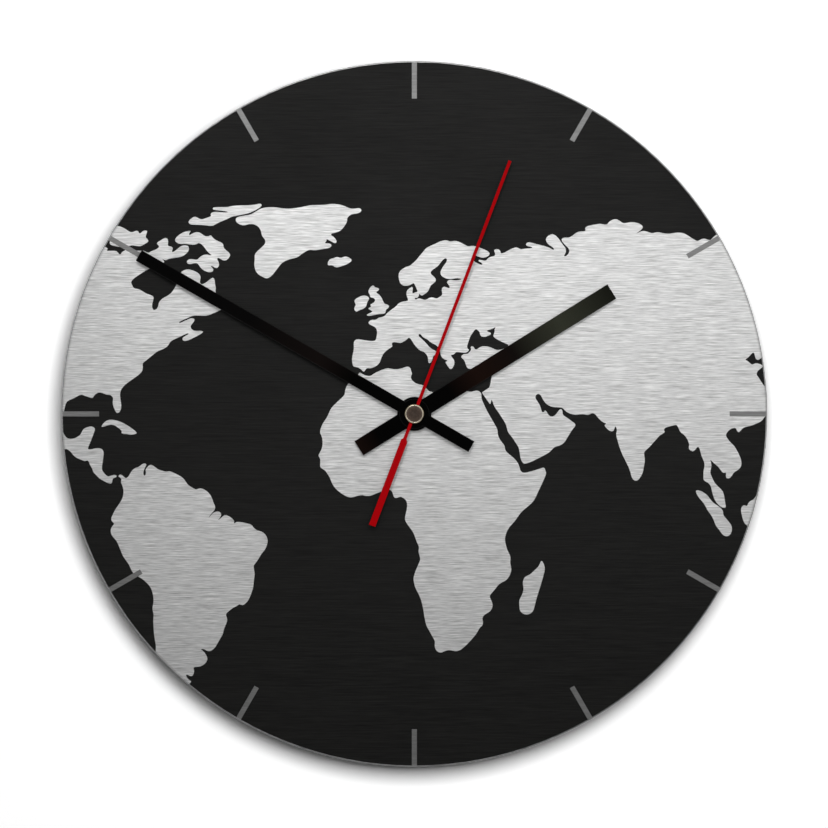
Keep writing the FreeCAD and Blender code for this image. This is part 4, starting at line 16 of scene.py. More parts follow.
import bmesh
import bpy
import numpy as np
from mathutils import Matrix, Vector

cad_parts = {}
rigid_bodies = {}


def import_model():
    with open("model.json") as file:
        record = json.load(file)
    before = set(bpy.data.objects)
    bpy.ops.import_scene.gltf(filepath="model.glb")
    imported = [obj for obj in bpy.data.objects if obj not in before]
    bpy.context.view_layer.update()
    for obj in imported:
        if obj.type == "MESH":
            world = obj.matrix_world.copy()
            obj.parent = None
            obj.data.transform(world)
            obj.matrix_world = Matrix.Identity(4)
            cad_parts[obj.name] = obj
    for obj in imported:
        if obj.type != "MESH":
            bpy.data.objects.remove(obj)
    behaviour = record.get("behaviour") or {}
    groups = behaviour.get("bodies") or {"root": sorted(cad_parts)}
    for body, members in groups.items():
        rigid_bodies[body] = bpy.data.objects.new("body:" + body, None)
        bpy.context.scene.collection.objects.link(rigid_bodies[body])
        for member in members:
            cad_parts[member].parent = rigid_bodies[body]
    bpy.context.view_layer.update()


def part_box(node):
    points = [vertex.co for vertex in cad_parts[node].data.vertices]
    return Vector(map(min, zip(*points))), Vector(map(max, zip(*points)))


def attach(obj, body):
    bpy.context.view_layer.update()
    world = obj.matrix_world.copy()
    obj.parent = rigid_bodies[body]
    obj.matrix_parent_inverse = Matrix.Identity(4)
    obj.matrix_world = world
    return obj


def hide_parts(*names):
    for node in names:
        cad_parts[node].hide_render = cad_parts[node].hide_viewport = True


LOG = logging.getLogger("wall_clock")
MILLIMETRE = 0.001
MICRON = 0.000001
SHARP_ANGLE = math.radians(35)
MERGE_DISTANCE = 1e-7

Socket = bpy.types.NodeSocket
Triple = tuple[float, float, float]


class Texture(Enum):
    """How the surface of a finish is marked."""

    BRUSHED = "brush_streaks"
    GRAIN = "mould_grain"
    TURNED = "turned_rings"


class Axis(Enum):
    """The line that a turned piece goes round."""

    FORWARD = "y"
    ACROSS = "x"


class Nodes:
    """A node tree, and the nodes that this script puts into it."""

    NUMBER_SUMS = ("DOT_PRODUCT", "LENGTH")

    def __init__(self, tree: bpy.types.NodeTree) -> None:
        """Takes the tree that the nodes go into."""
        self.tree = tree

    def add(self, kind: str) -> bpy.types.Node:
        """Adds a shader node of one of Blender's kinds."""
        return self.tree.nodes.new("ShaderNode" + kind)

    def feed(self, target: Socket, value: Socket | Sequence[float] | float) -> None:
        """Joins a socket to an input, or gives the input a value of its own.

        Args:
            target: the input.
            value: the socket, or the value.
        """
        if isinstance(value, Socket):
            self.tree.links.new(value, target)
        else:
            target.default_value = value

    def maths(self, operation: str, first: Socket | float, second: Socket | float,
              clamp: bool = False) -> Socket:
        """Adds a sum of two numbers.

        Args:
            operation: Blender's name of the sum.
            first: a socket or a number.
            second: a socket or a number.
            clamp: keeps the result from 0 to 1.

        Returns:
            The result's socket.
        """
        node = self.add("Math")
        node.operation = operation
        node.use_clamp = clamp
        self.feed(node.inputs[0], first)
        self.feed(node.inputs[1], second)
        return node.outputs[0]

    def vector_maths(self, operation: str, first: Socket,
                     second: Socket | Triple = (0.0, 0.0, 0.0)) -> Socket:
        """Adds a sum of two vectors.

        Args:
            operation: Blender's name of the sum.
            first: a vector's socket.
            second: a socket or a vector, for the sums that take two.

        Returns:
            The result's socket, a vector or a number as the sum has it.
        """
        node = self.add("VectorMath")
        node.operation = operation
        self.feed(node.inputs[0], first)
        self.feed(node.inputs[1], second)
        return node.outputs["Value" if operation in self.NUMBER_SUMS else "Vector"]

    def scaled(self, vector: Socket, factor: Socket) -> Socket:
        """Multiplies a vector or a colour by one number.

        Args:
            vector: the vector's or colour's socket.
            factor: the number's socket.

        Returns:
            The result's socket.
        """
        node = self.add("VectorMath")
        node.operation = "SCALE"
        self.feed(node.inputs[0], vector)
        self.feed(node.inputs["Scale"], factor)
        return node.outputs[0]

    def ranged(self, value: Socket, before: tuple[float, float] = (0.0, 1.0),
               after: tuple[Socket | float, Socket | float] = (0.0, 1.0)) -> Socket:
        """Turns one range of a value into another, and holds it at the ends.

        Args:
            value: the value's socket.
            before: the range that the value has.
            after: the range that it gets, as numbers or sockets.

        Returns:
            The new value's socket.
        """
        node = self.add("MapRange")
        for title, limit in zip(("From Min", "From Max", "To Min", "To Max"), (*before, *after)):
            self.feed(node.inputs[title], limit)
        self.feed(node.inputs["Value"], value)
        return node.outputs[0]

    def placed(self, group: bpy.types.NodeTree, **values: Socket | float) -> bpy.types.Node:
        """Places a shared group.

        Args:
            group: the group.
            values: what its inputs get.

        Returns:
            The group's node.
        """
        node = self.add("Group")
        node.node_tree = group
        for title, value in values.items():
            self.feed(node.inputs[title], value)
        return node


class GroupBuilder(Nodes):
    """A shader node group with named inputs and outputs."""

    def __init__(self, name: str, inputs: dict[str, float | None], outputs: Sequence[str]) -> None:
        """Starts the group.

        Args:
            name: the group's name.
            inputs: each input's default value, or None for a vector.
            outputs: names of the values it puts out.
        """
        super().__init__(bpy.data.node_groups.new(name, "ShaderNodeTree"))
        for title, default in inputs.items():
            kind = "NodeSocketVector" if default is None else "NodeSocketFloat"
            socket = self.tree.interface.new_socket(title, in_out="INPUT", socket_type=kind)
            if default is not None:
                socket.default_value = default
        for title in outputs:
            self.tree.interface.new_socket(title, in_out="OUTPUT", socket_type="NodeSocketFloat")
        self.entry = self.tree.nodes.new("NodeGroupInput")
        self.exit = self.tree.nodes.new("NodeGroupOutput")

    def given(self, title: str) -> Socket:
        """The value that a material gives to one of the group's inputs."""
        return self.entry.outputs[title]

    def stretched(self, factors: Triple) -> Socket:
        """The group's Vector, multiplied by a factor for each axis and then by the group's Size."""
        return self.scaled(self.vector_maths("MULTIPLY", self.given("Vector"), factors), self.given("Size"))

    def noise(self, place: Socket, scale: float, detail: float, in_line: bool = False) -> Socket:
        """Adds a noise.

        Args:
            place: where it is read.
            scale: how often it changes in a metre of that place.
            detail: how many finer layers it has.
            in_line: whether the place is one distance and not a vector.

        Returns:
            The noise's socket.
        """
        node = self.add("TexNoise")
        node.noise_dimensions = "1D" if in_line else "3D"
        self.feed(node.inputs["Scale"], scale)
        self.feed(node.inputs["Detail"], detail)
        self.feed(node.inputs["W" if in_line else "Vector"], place)
        return node.outputs[0]

    def put_out(self, **values: Socket) -> bpy.types.NodeTree:
        """Ends the group.

        Args:
            values: what its outputs give.

        Returns:
            The finished group.
        """
        for title, socket in values.items():
            self.feed(self.exit.inputs[title], socket)
        return self.tree


class SurfaceGroups:
    """The node groups that the finishes share."""

    STREAK_LONG = 75.0
    STREAK_FINE = 3000.0
    SECOND_STREAK = 2.7
    GRAIN_FINE = 2600.0
    RING_FINE = 5200.0
    SMUDGE_WIDE = 45.0
    MARK_RANGE = (0.3, 0.7)
    GRAIN_RANGE = (0.35, 0.65)
    EVENLY = (1.0, 1.0, 1.0)
    SQUARE_TO_AXIS = (1.0, 0.0, 1.0)
    EDGE_SAMPLES = 4
    EDGE_WIDTH = 0.2 * MILLIMETRE
    EDGE_GAIN = 4.0

    def __init__(self) -> None:
        """Builds each group once."""
        self.textures = {
            Texture.BRUSHED: self.brush_streaks(),
            Texture.GRAIN: self.mould_grain(),
            Texture.TURNED: self.turned_rings(),
        }
        self.radius = self.radius_from_axis()
        self.edges = self.edge_highlight_mask()

    @staticmethod
    def started(texture: Texture) -> GroupBuilder:
        """Starts a group for one kind of marks."""
        return GroupBuilder(texture.value, {"Vector": None, "Size": 1.0}, ("Mask", "Height", "Smudge"))

    def marked(self, group: GroupBuilder, height: Socket, span: tuple[float, float],
               smudge_detail: float = 2.0) -> bpy.types.NodeTree:
        """Ends a group of marks, with slow smudges beside them.

        Args:
            group: the group.
            height: the marks' height.
            span: the heights where the marks' mask is 0 and 1.
            smudge_detail: how many finer layers the smudges have.

        Returns:
            The finished group.
        """
        smudge = group.noise(group.stretched(self.EVENLY), scale=self.SMUDGE_WIDE, detail=smudge_detail)
        return group.put_out(Mask=group.ranged(height, span), Height=height,
                             Smudge=group.ranged(smudge, self.MARK_RANGE))

    def brush_streaks(self) -> bpy.types.NodeTree:
        """Fine lines along x: the mean of two noises that are stretched along it.

        Returns:
            The group.
        """
        group = self.started(Texture.BRUSHED)
        lines = group.stretched((self.STREAK_LONG, self.STREAK_FINE, self.STREAK_FINE))
        coarse = group.noise(lines, scale=1.0, detail=3.0)
        fine = group.noise(lines, scale=self.SECOND_STREAK, detail=2.0)
        return self.marked(group, group.maths("MULTIPLY", group.maths("ADD", coarse, fine), 0.5),
                           self.MARK_RANGE)

    def mould_grain(self) -> bpy.types.NodeTree:
        """The fine even grain of moulded plastic, cast rubber or rolled metal.

        Returns:
            The group.
        """
        group = self.started(Texture.GRAIN)
        grain = group.noise(group.stretched(self.EVENLY), scale=self.GRAIN_FINE, detail=2.0)
        return self.marked(group, grain, self.GRAIN_RANGE, smudge_detail=3.0)

    def turned_rings(self) -> bpy.types.NodeTree:
        """Rings about the hands' axis, from a noise of the distance to it.

        Returns:
            The group.
        """
        group = self.started(Texture.TURNED)
        distance = group.maths("MULTIPLY", self.distance_from_axis(group), group.given("Size"))
        rings = group.noise(distance, scale=self.RING_FINE, detail=1.0, in_line=True)
        return self.marked(group, rings, self.MARK_RANGE)

    def distance_from_axis(self, group: GroupBuilder) -> Socket:
        """The length of the group's Vector with its y left out."""
        flat = group.vector_maths("MULTIPLY", group.given("Vector"), self.SQUARE_TO_AXIS)
        return group.vector_maths("LENGTH", flat)

    def radius_from_axis(self) -> bpy.types.NodeTree:
        """The distance from the hands' axis as a share of a reach.

        Returns:
            The group.
        """
        group = GroupBuilder("radius_from_axis", {"Vector": None, "Reach": 1.0}, ("Share",))
        distance = self.distance_from_axis(group)
        return group.put_out(Share=group.maths("DIVIDE", distance, group.given("Reach"), clamp=True))

    def edge_highlight_mask(self) -> bpy.types.NodeTree:
        """A mask that is 1 on a sharp edge, where the rounded normal leaves the true one; it places a
        painted highlight.

        Returns:
            The group.
        """
        group = GroupBuilder("edge_highlight_mask", {"Width": self.EDGE_WIDTH, "Gain": self.EDGE_GAIN}, ("Mask",))
        rounded = group.add("Bevel")
        rounded.samples = self.EDGE_SAMPLES
        group.feed(rounded.inputs["Radius"], group.given("Width"))
        true = group.add("NewGeometry").outputs["Normal"]
        away = group.maths("SUBTRACT", 1.0, group.vector_maths("DOT_PRODUCT", rounded.outputs[0], true))
        return group.put_out(Mask=group.maths("MULTIPLY", away, group.given("Gain"), clamp=True))


def reach_from_axis(node: str) -> float:
    """How far a node of the frame reaches from the hands' axis.

    Args:
        node: the node's name.

    Returns:
        The distance of its furthest point.
    """
    vertices = bpy.data.objects[node].data.vertices
    places = np.empty(len(vertices) * 3)
    vertices.foreach_get("co", places)
    across, _, up = places.reshape(-1, 3).T
    return float(np.hypot(across, up).max())


@dataclass(frozen=True)
class Finish:
    """One surface finish.

    Args:
        slot: the record's name of it.
        colour: its linear colour.
        metallic: 1 for bare metal.
        roughness: from the smoothest to the roughest spot.
        specular: strength of its gloss.
        coat: clear lacquer over it.
        texture: how it is marked.
        size: how fine the marks are, 1 as usual.
        contrast: how much darker and paler than the colour the marks are.
        relief: depth of the marks in microns.
        edge: how much a painted highlight lightens each sharp edge.
        edge_width: how far that reaches.
        painted_light_bands: colours along the distance from the hands' axis, each after its share of the
            reach; these bands are painted reflections, highlights and shade.
        reach_of: the node that the last share reaches to the end of.
    """

    slot: str
    colour: Triple
    metallic: float = 0.0
    roughness: tuple[float, float] = (0.4, 0.5)
    specular: float = 0.5
    coat: float = 0.0
    texture: Texture = Texture.GRAIN
    size: float = 1.0
    contrast: float = 0.15
    relief: float = 10.0
    # Strength of the painted highlight on each sharp edge.
    edge: float = 0.0
    edge_width: float = SurfaceGroups.EDGE_WIDTH
    # Bands of painted reflection, highlight and shade about the hands' axis.
    painted_light_bands: tuple[tuple[float, Triple], ...] = ()
    reach_of: str = ""

    MIX_FACTOR = 0
    MIX_FIRST_COLOUR = 6
    MIX_SECOND_COLOUR = 7
    MIX_COLOUR = 2

    def build(self, groups: SurfaceGroups) -> bpy.types.Material:
        """Makes the material.

        Args:
            groups: the shared node groups.

        Returns:
            The finished material.
        """
        material = bpy.data.materials.new(self.slot)
        material.use_nodes = True
        nodes = Nodes(material.node_tree)
        shader = material.node_tree.nodes["Principled BSDF"]
        nodes.feed(shader.inputs["Metallic"], self.metallic)
        nodes.feed(shader.inputs["Specular IOR Level"], self.specular)
        nodes.feed(shader.inputs["Coat Weight"], self.coat)
        place = nodes.add("TexCoord").outputs["Object"]
        marks = nodes.placed(groups.textures[self.texture], Vector=place, Size=self.size)
        strength = nodes.ranged(marks.outputs["Mask"], after=(1.0 - self.contrast, 1.0 + self.contrast))
        colour = nodes.scaled(self.base_colour(nodes, groups, place), strength)
        # Painted highlight: each sharp edge gets a paler colour.
        if self.edge:
            colour = self.painted_edge_highlights(nodes, groups, colour)
        nodes.feed(shader.inputs["Base Color"], colour)
        nodes.feed(shader.inputs["Roughness"], nodes.ranged(marks.outputs["Smudge"], after=self.roughness))
        bump = nodes.add("Bump")
        nodes.feed(bump.inputs["Distance"], self.relief * MICRON)
        nodes.feed(bump.inputs["Height"], marks.outputs["Height"])
        nodes.feed(shader.inputs["Normal"], bump.outputs[0])
        return material

    def base_colour(self, nodes: Nodes, groups: SurfaceGroups, place: Socket) -> Socket:
        """The plain colour, or the bands of colour about the hands' axis that paint reflections, highlights
        and shade.

        Args:
            nodes: the material's nodes.
            groups: the shared node groups.
            place: the coordinates.

        Returns:
            The colour's socket.
        """
        if not self.painted_light_bands:
            plain = nodes.add("RGB")
            plain.outputs[0].default_value = (*self.colour, 1.0)
            return plain.outputs[0]
        # Painted reflections, highlights and shade: the colour is set by the distance from the hands' axis.
        share = nodes.placed(groups.radius, Vector=place, Reach=reach_from_axis(self.reach_of))
        painted_light_ramp = nodes.add("ValToRGB")
        elements = painted_light_ramp.color_ramp.elements
        while len(elements) < len(self.painted_light_bands):
            elements.new(1.0)
        for element, (position_share, colour) in zip(elements, self.painted_light_bands):
            element.position = position_share
            element.color = (*colour, 1.0)
        nodes.feed(painted_light_ramp.inputs[0], share.outputs["Share"])
        return painted_light_ramp.outputs[0]

    def painted_edge_highlights(self, nodes: Nodes, groups: SurfaceGroups, colour: Socket) -> Socket:
        """Paints a highlight on each sharp edge by lightening the colour.

        Args:
            nodes: the material's nodes.
            groups: the shared node groups.
            colour: the colour's socket.

        Returns:
            The lightened colour's socket.
        """
        line = nodes.placed(groups.edges, Width=self.edge_width)
        highlighted_colour = nodes.add("Mix")
        highlighted_colour.data_type = "RGBA"
        highlighted_colour.blend_type = "ADD"
        nodes.feed(highlighted_colour.inputs[self.MIX_FACTOR], line.outputs["Mask"])
        nodes.feed(highlighted_colour.inputs[self.MIX_FIRST_COLOUR], colour)
        nodes.feed(highlighted_colour.inputs[self.MIX_SECOND_COLOUR], (self.edge, self.edge, self.edge, 1.0))
        return highlighted_colour.outputs[self.MIX_COLOUR]


class Finishes:
    """All finishes of the clock, each made once."""

    LIST = (
        # The dial skin darkens in a thin ring at its rim: painted shade along the disc's edge.
        Finish("dial_skin", (0.67, 0.67, 0.667), 1.0, (0.37, 0.38), texture=Texture.BRUSHED, contrast=0.64,
               relief=4.0, reach_of="dial_front_skin", painted_light_bands=(
                   (0.0, (0.67, 0.67, 0.667)), (0.9955, (0.67, 0.67, 0.667)), (0.9965, (0.33, 0.33, 0.33)),
                   (1.0, (0.27, 0.27, 0.27)))),
        Finish("dial_core", (0.03, 0.03, 0.032), roughness=(0.6, 0.7), contrast=0.25),
        Finish("sea_ink", (0.0055, 0.0055, 0.0051), roughness=(0.38, 0.44), specular=0.15,
               texture=Texture.BRUSHED, size=0.7, contrast=0.9, relief=12.0),
        Finish("mark_ink", (0.22, 0.22, 0.218), 0.95, (0.36, 0.4), specular=0.2,
               texture=Texture.BRUSHED, contrast=0.3, relief=3.0),
        # The hanger, the case and the hands have an edge value, which paints a highlight along each sharp
        # edge.
        Finish("zinc_steel", (0.56, 0.57, 0.58), 1.0, (0.3, 0.48), size=0.5, contrast=0.08, relief=12.0,
               edge=0.08),
        Finish("rubber", (0.018, 0.018, 0.018), roughness=(0.75, 0.85), contrast=0.3, relief=30.0),
        Finish("brass", (0.72, 0.53, 0.25), 1.0, (0.2, 0.32), texture=Texture.TURNED, contrast=0.08,
               relief=4.0),
        Finish("case_plastic", (0.022, 0.022, 0.023), roughness=(0.42, 0.6), contrast=0.35, relief=30.0,
               edge=0.02),
        Finish("train_plastic", (0.78, 0.76, 0.7), roughness=(0.3, 0.42), contrast=0.04, relief=6.0),
        Finish("bridge_plastic", (0.62, 0.62, 0.58), roughness=(0.4, 0.55), contrast=0.05),
        Finish("screw_steel", (0.6, 0.6, 0.6), 1.0, (0.22, 0.35), size=0.8, contrast=0.1, relief=4.0),
        Finish("stator_iron", (0.42, 0.42, 0.42), 1.0, (0.4, 0.55), contrast=0.12),
        Finish("copper", (0.75, 0.32, 0.14), 1.0, (0.25, 0.4), coat=0.4, contrast=0.12, relief=4.0),
        Finish("bobbin_plastic", (0.12, 0.17, 0.13), contrast=0.1),
        Finish("board", (0.42, 0.27, 0.1), roughness=(0.45, 0.6), texture=Texture.BRUSHED, size=0.7,
               contrast=0.12),
        Finish("crystal_can", (0.72, 0.72, 0.73), 1.0, (0.15, 0.25), contrast=0.04, relief=3.0),
        Finish("chip_resin", (0.012, 0.012, 0.012), roughness=(0.12, 0.22), contrast=0.1),
        Finish("contact_metal", (0.7, 0.69, 0.64), 1.0, (0.18, 0.3), contrast=0.06, relief=4.0),
        Finish("cell_steel", (0.68, 0.68, 0.68), 1.0, (0.22, 0.34), contrast=0.06, relief=4.0),
        Finish("cell_sleeve", (0.03, 0.08, 0.2), roughness=(0.14, 0.26), coat=0.5, contrast=0.06),
        Finish("knob_plastic", (0.7, 0.69, 0.63), roughness=(0.35, 0.48), contrast=0.05),
        Finish("magnet", (0.09, 0.09, 0.1), 0.6, (0.4, 0.55), contrast=0.2),
        Finish("arbor_steel", (0.66, 0.66, 0.66), 1.0, (0.12, 0.22), texture=Texture.TURNED, contrast=0.05,
               relief=2.0),
        # The hour hand's paler and browner bands along its length are painted reflections; near the hub it
        # is plain black.
        Finish("hand_black", (0.0025, 0.0025, 0.0026), roughness=(0.3, 0.42), specular=0.015, contrast=0.1,
               relief=4.0, edge=0.03, edge_width=0.4 * MILLIMETRE, reach_of="hour_hand", painted_light_bands=(
                   (0.0, (0.0004, 0.0004, 0.0004)), (0.18, (0.0004, 0.0004, 0.0004)),
                   (0.32, (0.009, 0.0042, 0.003)), (0.5, (0.005, 0.0035, 0.003)),
                   (0.74, (0.032, 0.034, 0.024)), (1.0, (0.008, 0.0085, 0.006)))),
        Finish("hand_red", (0.4, 0.0008, 0.003), roughness=(0.35, 0.45), specular=0.03, contrast=0.06,
               relief=4.0),
        # The cap's dark brown face is a painted reflection of dark surroundings, and the pale and dark rings
        # on its rim are a painted highlight and painted shade.
        Finish("cap_metal", (0.6, 0.58, 0.54), 1.0, (0.12, 0.2), size=0.8, contrast=0.3, relief=4.0,
               reach_of="second_hand_cap", painted_light_bands=(
                   (0.0, (0.06, 0.045, 0.037)), (0.4, (0.05, 0.036, 0.029)), (0.8, (0.085, 0.062, 0.048)),
                   (0.85, (0.8, 0.74, 0.62)), (0.93, (0.6, 0.5, 0.34)), (1.0, (0.22, 0.16, 0.08)))),
        # The minute hand's paler brownish band along its length is a painted reflection.
        Finish("minute_black", (0.0012, 0.0012, 0.0013), roughness=(0.3, 0.42), specular=0.015, contrast=0.1,
               relief=4.0, edge=0.035, edge_width=0.4 * MILLIMETRE, reach_of="minute_hand", painted_light_bands=(
                   (0.0, (0.0004, 0.0004, 0.0004)), (0.22, (0.0004, 0.0004, 0.0004)),
                   (0.34, (0.0055, 0.0038, 0.0034)), (0.6, (0.0018, 0.0016, 0.0016)),
                   (1.0, (0.001, 0.001, 0.001)))),
    )

    def __init__(self) -> None:
        """Builds the shared groups and every material."""
        groups = SurfaceGroups()
        self.materials = {finish.slot: finish.build(groups) for finish in self.LIST}

    def give(self, piece: bpy.types.Object, slot: str) -> None:
        """Puts one finish in all of a piece's slots.

        Args:
            piece: the piece.
            slot: the finish.
        """
        if not piece.material_slots:
            piece.data.materials.append(self.materials[slot])
        for place in piece.material_slots:
            place.material = self.materials[slot]
        LOG.info("%s: %s", piece.name, slot)

    def dress(self, slot: str, *nodes: str) -> None:
        """Gives a finish to nodes of the frame.

        Args:
            slot: the finish.
            nodes: names of the frame's nodes.
        """
        for name in nodes:
            self.give(bpy.data.objects[name], slot)

    def stand_in(self, piece: bpy.types.Object, node: str, slot: str, body: str) -> None:
        """Finishes a piece that stands for a node of the frame.

        Args:
            piece: the piece.
            node: the node it replaces.
            slot: its finish.
            body: the body it rides on.
        """
        self.give(piece, slot)
        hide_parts(node)
        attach(piece, body)


class Surfaces:
    """Meshes from grids of points."""

    @staticmethod
    def piece(name: str, grid: np.ndarray, looped: bool = False) -> bpy.types.Object:
        """Makes an object from a grid that closes on itself along its columns.

        Each cell of the grid is one face. A ring of points at either end is closed by a face of its own,
        unless it has shrunk to a point or the rows close on themselves too.

        Args:
            name: the object's name.
            grid: rows by columns by three coordinates.
            looped: whether the last row joins the first.

        Returns:
            The object, at the origin.
        """
        rows, columns, _ = grid.shape
        index = np.arange(rows * columns).reshape(rows, columns)
        lower = index if looped else index[:-1]
        upper = np.roll(index, -1, axis=0) if looped else index[1:]
        quads = np.stack([lower, np.roll(lower, -1, axis=1), np.roll(upper, -1, axis=1), upper], axis=-1)
        faces = quads.reshape(-1, 4).tolist()
        if not looped:
            faces += [ring.tolist() for ring in (index[0][::-1], index[-1])
                      if np.ptp(grid.reshape(-1, 3)[ring], axis=0).max() > MERGE_DISTANCE]
        mesh = bpy.data.meshes.new(name)
        mesh.from_pydata(grid.reshape(-1, 3).tolist(), [], faces)
        shell = bmesh.new()
        shell.from_mesh(mesh)
        bmesh.ops.remove_doubles(shell, verts=shell.verts, dist=MERGE_DISTANCE)
        bmesh.ops.recalc_face_normals(shell, faces=shell.faces)
        shell.to_mesh(mesh)
        shell.free()
        mesh.shade_smooth()
        mesh.set_sharp_from_angle(angle=SHARP_ANGLE)
        made = bpy.data.objects.new(name, mesh)
        bpy.context.scene.collection.objects.link(made)
        return made

    @staticmethod
    def around(radii: np.ndarray, along: np.ndarray, centre: Sequence[float], axis: Axis) -> np.ndarray:
        """Carries radii round an axis: each point lies at its radius, at the bearing of its column.

        Args:
            radii: rows by columns of distances from the axis.
            along: rows of places along the axis.
            centre: the axis's place in the two directions square to it.
            axis: the axis.

        Returns:
            The grid of points.
        """
        columns = radii.shape[1]
        bearing = np.linspace(0.0, 2 * math.pi, columns, endpoint=False)
        first = centre[0] + radii * np.cos(bearing)
        second = centre[1] + radii * np.sin(bearing)
        line = np.broadcast_to(along[:, None], radii.shape)
        if axis is Axis.FORWARD:
            return np.stack([first, line, second], axis=-1)
        return np.stack([line, first, second], axis=-1)

    @classmethod
    def turned(cls, name: str, profile: np.ndarray, centre: Sequence[float], axis: Axis,
               columns: int = 96, looped: bool = False) -> bpy.types.Object:
        """A turned piece: a profile of radius and place, carried once round an axis.

        Args:
            name: the object's name.
            profile: rows of a radius and a place along the axis.
            centre: the axis's place in the two directions square to it.
            axis: the axis.
            columns: points in each ring.
            looped: whether the profile closes on itself.

        Returns:
            The object.
        """
        radii = np.repeat(profile[:, :1], columns, axis=1)
        return cls.piece(name, cls.around(radii, profile[:, 1], centre, axis), looped)


@dataclass
class Dial:
    """The composite disc, its sea and its hour bars, all kept from the frame."""

    def build(self, finishes: Finishes) -> None:
        """Dresses the disc's layers and its inks.

        Args:
            finishes: the clock's finishes.
        """
        finishes.dress("dial_skin", "dial_front_skin", "dial_back_skin")
        finishes.dress("dial_core", "dial_core")
        finishes.dress("sea_ink", "sea_print")
        finishes.dress("mark_ink", "hour_marks")


@dataclass
class Clamp:
    """The hanger, the washers, the nut and the threaded bushing."""

    bore_radius: float = 2.63 * MILLIMETRE
    thread_pitch: float = 0.75 * MILLIMETRE
    thread_depth: float = 0.32 * MILLIMETRE
    rows_per_turn: int = 10
    columns: int = 72

    def bushing(self) -> bpy.types.Object:
        """The bushing: its radius falls and rises once in each pitch, later by a full pitch in each round.

        Returns:
            The object that stands for the plain bushing.
        """
        low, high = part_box("shaft_bushing")
        radius = (high.x - low.x) / 2
        turns = (high.y - low.y) / self.thread_pitch
        along = np.linspace(high.y, low.y, int(turns * self.rows_per_turn))
        bearing_share = np.arange(self.columns) / self.columns
        phase = (along[:, None] / self.thread_pitch + bearing_share[None, :]) % 1.0
        groove = np.abs(2 * phase - 1)
        fade = np.clip((along - low.y) / self.thread_pitch, 0.0, 1.0)[:, None]
        outer = radius - self.thread_depth * (groove * fade + (1 - fade))
        inner = np.full((2, self.columns), self.bore_radius)
        radii = np.concatenate([outer, inner])
        places = np.concatenate([along, [low.y, high.y]])
        grid = Surfaces.around(radii, places, (0.0, 0.0), Axis.FORWARD)
        return Surfaces.piece("threaded_bushing", grid, looped=True)

    def build(self, finishes: Finishes) -> None:
        """Dresses the nodes and adds the thread.

        Args:
            finishes: the clock's finishes.
        """
        finishes.dress("zinc_steel", "hanger_plate")
        finishes.dress("rubber", "rubber_washer")
        finishes.dress("brass", "front_washer", "shaft_nut")
        finishes.stand_in(self.bushing(), "shaft_bushing", "brass", "clock_body")


@dataclass
class Hands:
    """The three hands with their collars and the cap."""

    cap_profile_shares: tuple[tuple[float, float], ...] = (
        (0.0, 0.0), (0.97, 0.0), (1.0, 0.06), (1.0, 0.5), (0.992, 0.68), (0.972, 0.82), (0.94, 0.92),
        (0.915, 0.98), (0.885, 1.0), (0.862, 0.985), (0.848, 0.95), (0.84, 0.9), (0.835, 0.86), (0.6, 0.86),
        (0.3, 0.86), (0.0, 0.865))

    def cap(self) -> bpy.types.Object:
        """The pressed cap: a rounded rim about a face that lies a little lower.

        Returns:
            The object that stands for the plain cap.
        """
        low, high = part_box("second_hand_cap")
        shares = np.array(self.cap_profile_shares)
        radius = (high.x - low.x) / 2
        profile = np.stack([shares[:, 0] * radius, high.y - shares[:, 1] * (high.y - low.y)], axis=1)
        centre = ((low.x + high.x) / 2, (low.z + high.z) / 2)
        return Surfaces.turned("pressed_cap", profile, centre, Axis.FORWARD)

    def build(self, finishes: Finishes) -> None:
        """Dresses the hands and adds the cap.

        Args:
            finishes: the clock's finishes.
        """
        finishes.dress("hand_black", "hour_hand")
        finishes.dress("minute_black", "minute_hand")
        finishes.dress("hand_red", "second_hand")
        finishes.dress("brass", "hour_hand_collar", "minute_hand_collar", "second_hand_bush")
        finishes.stand_in(self.cap(), "second_hand_cap", "cap_metal", "second_hand_set")


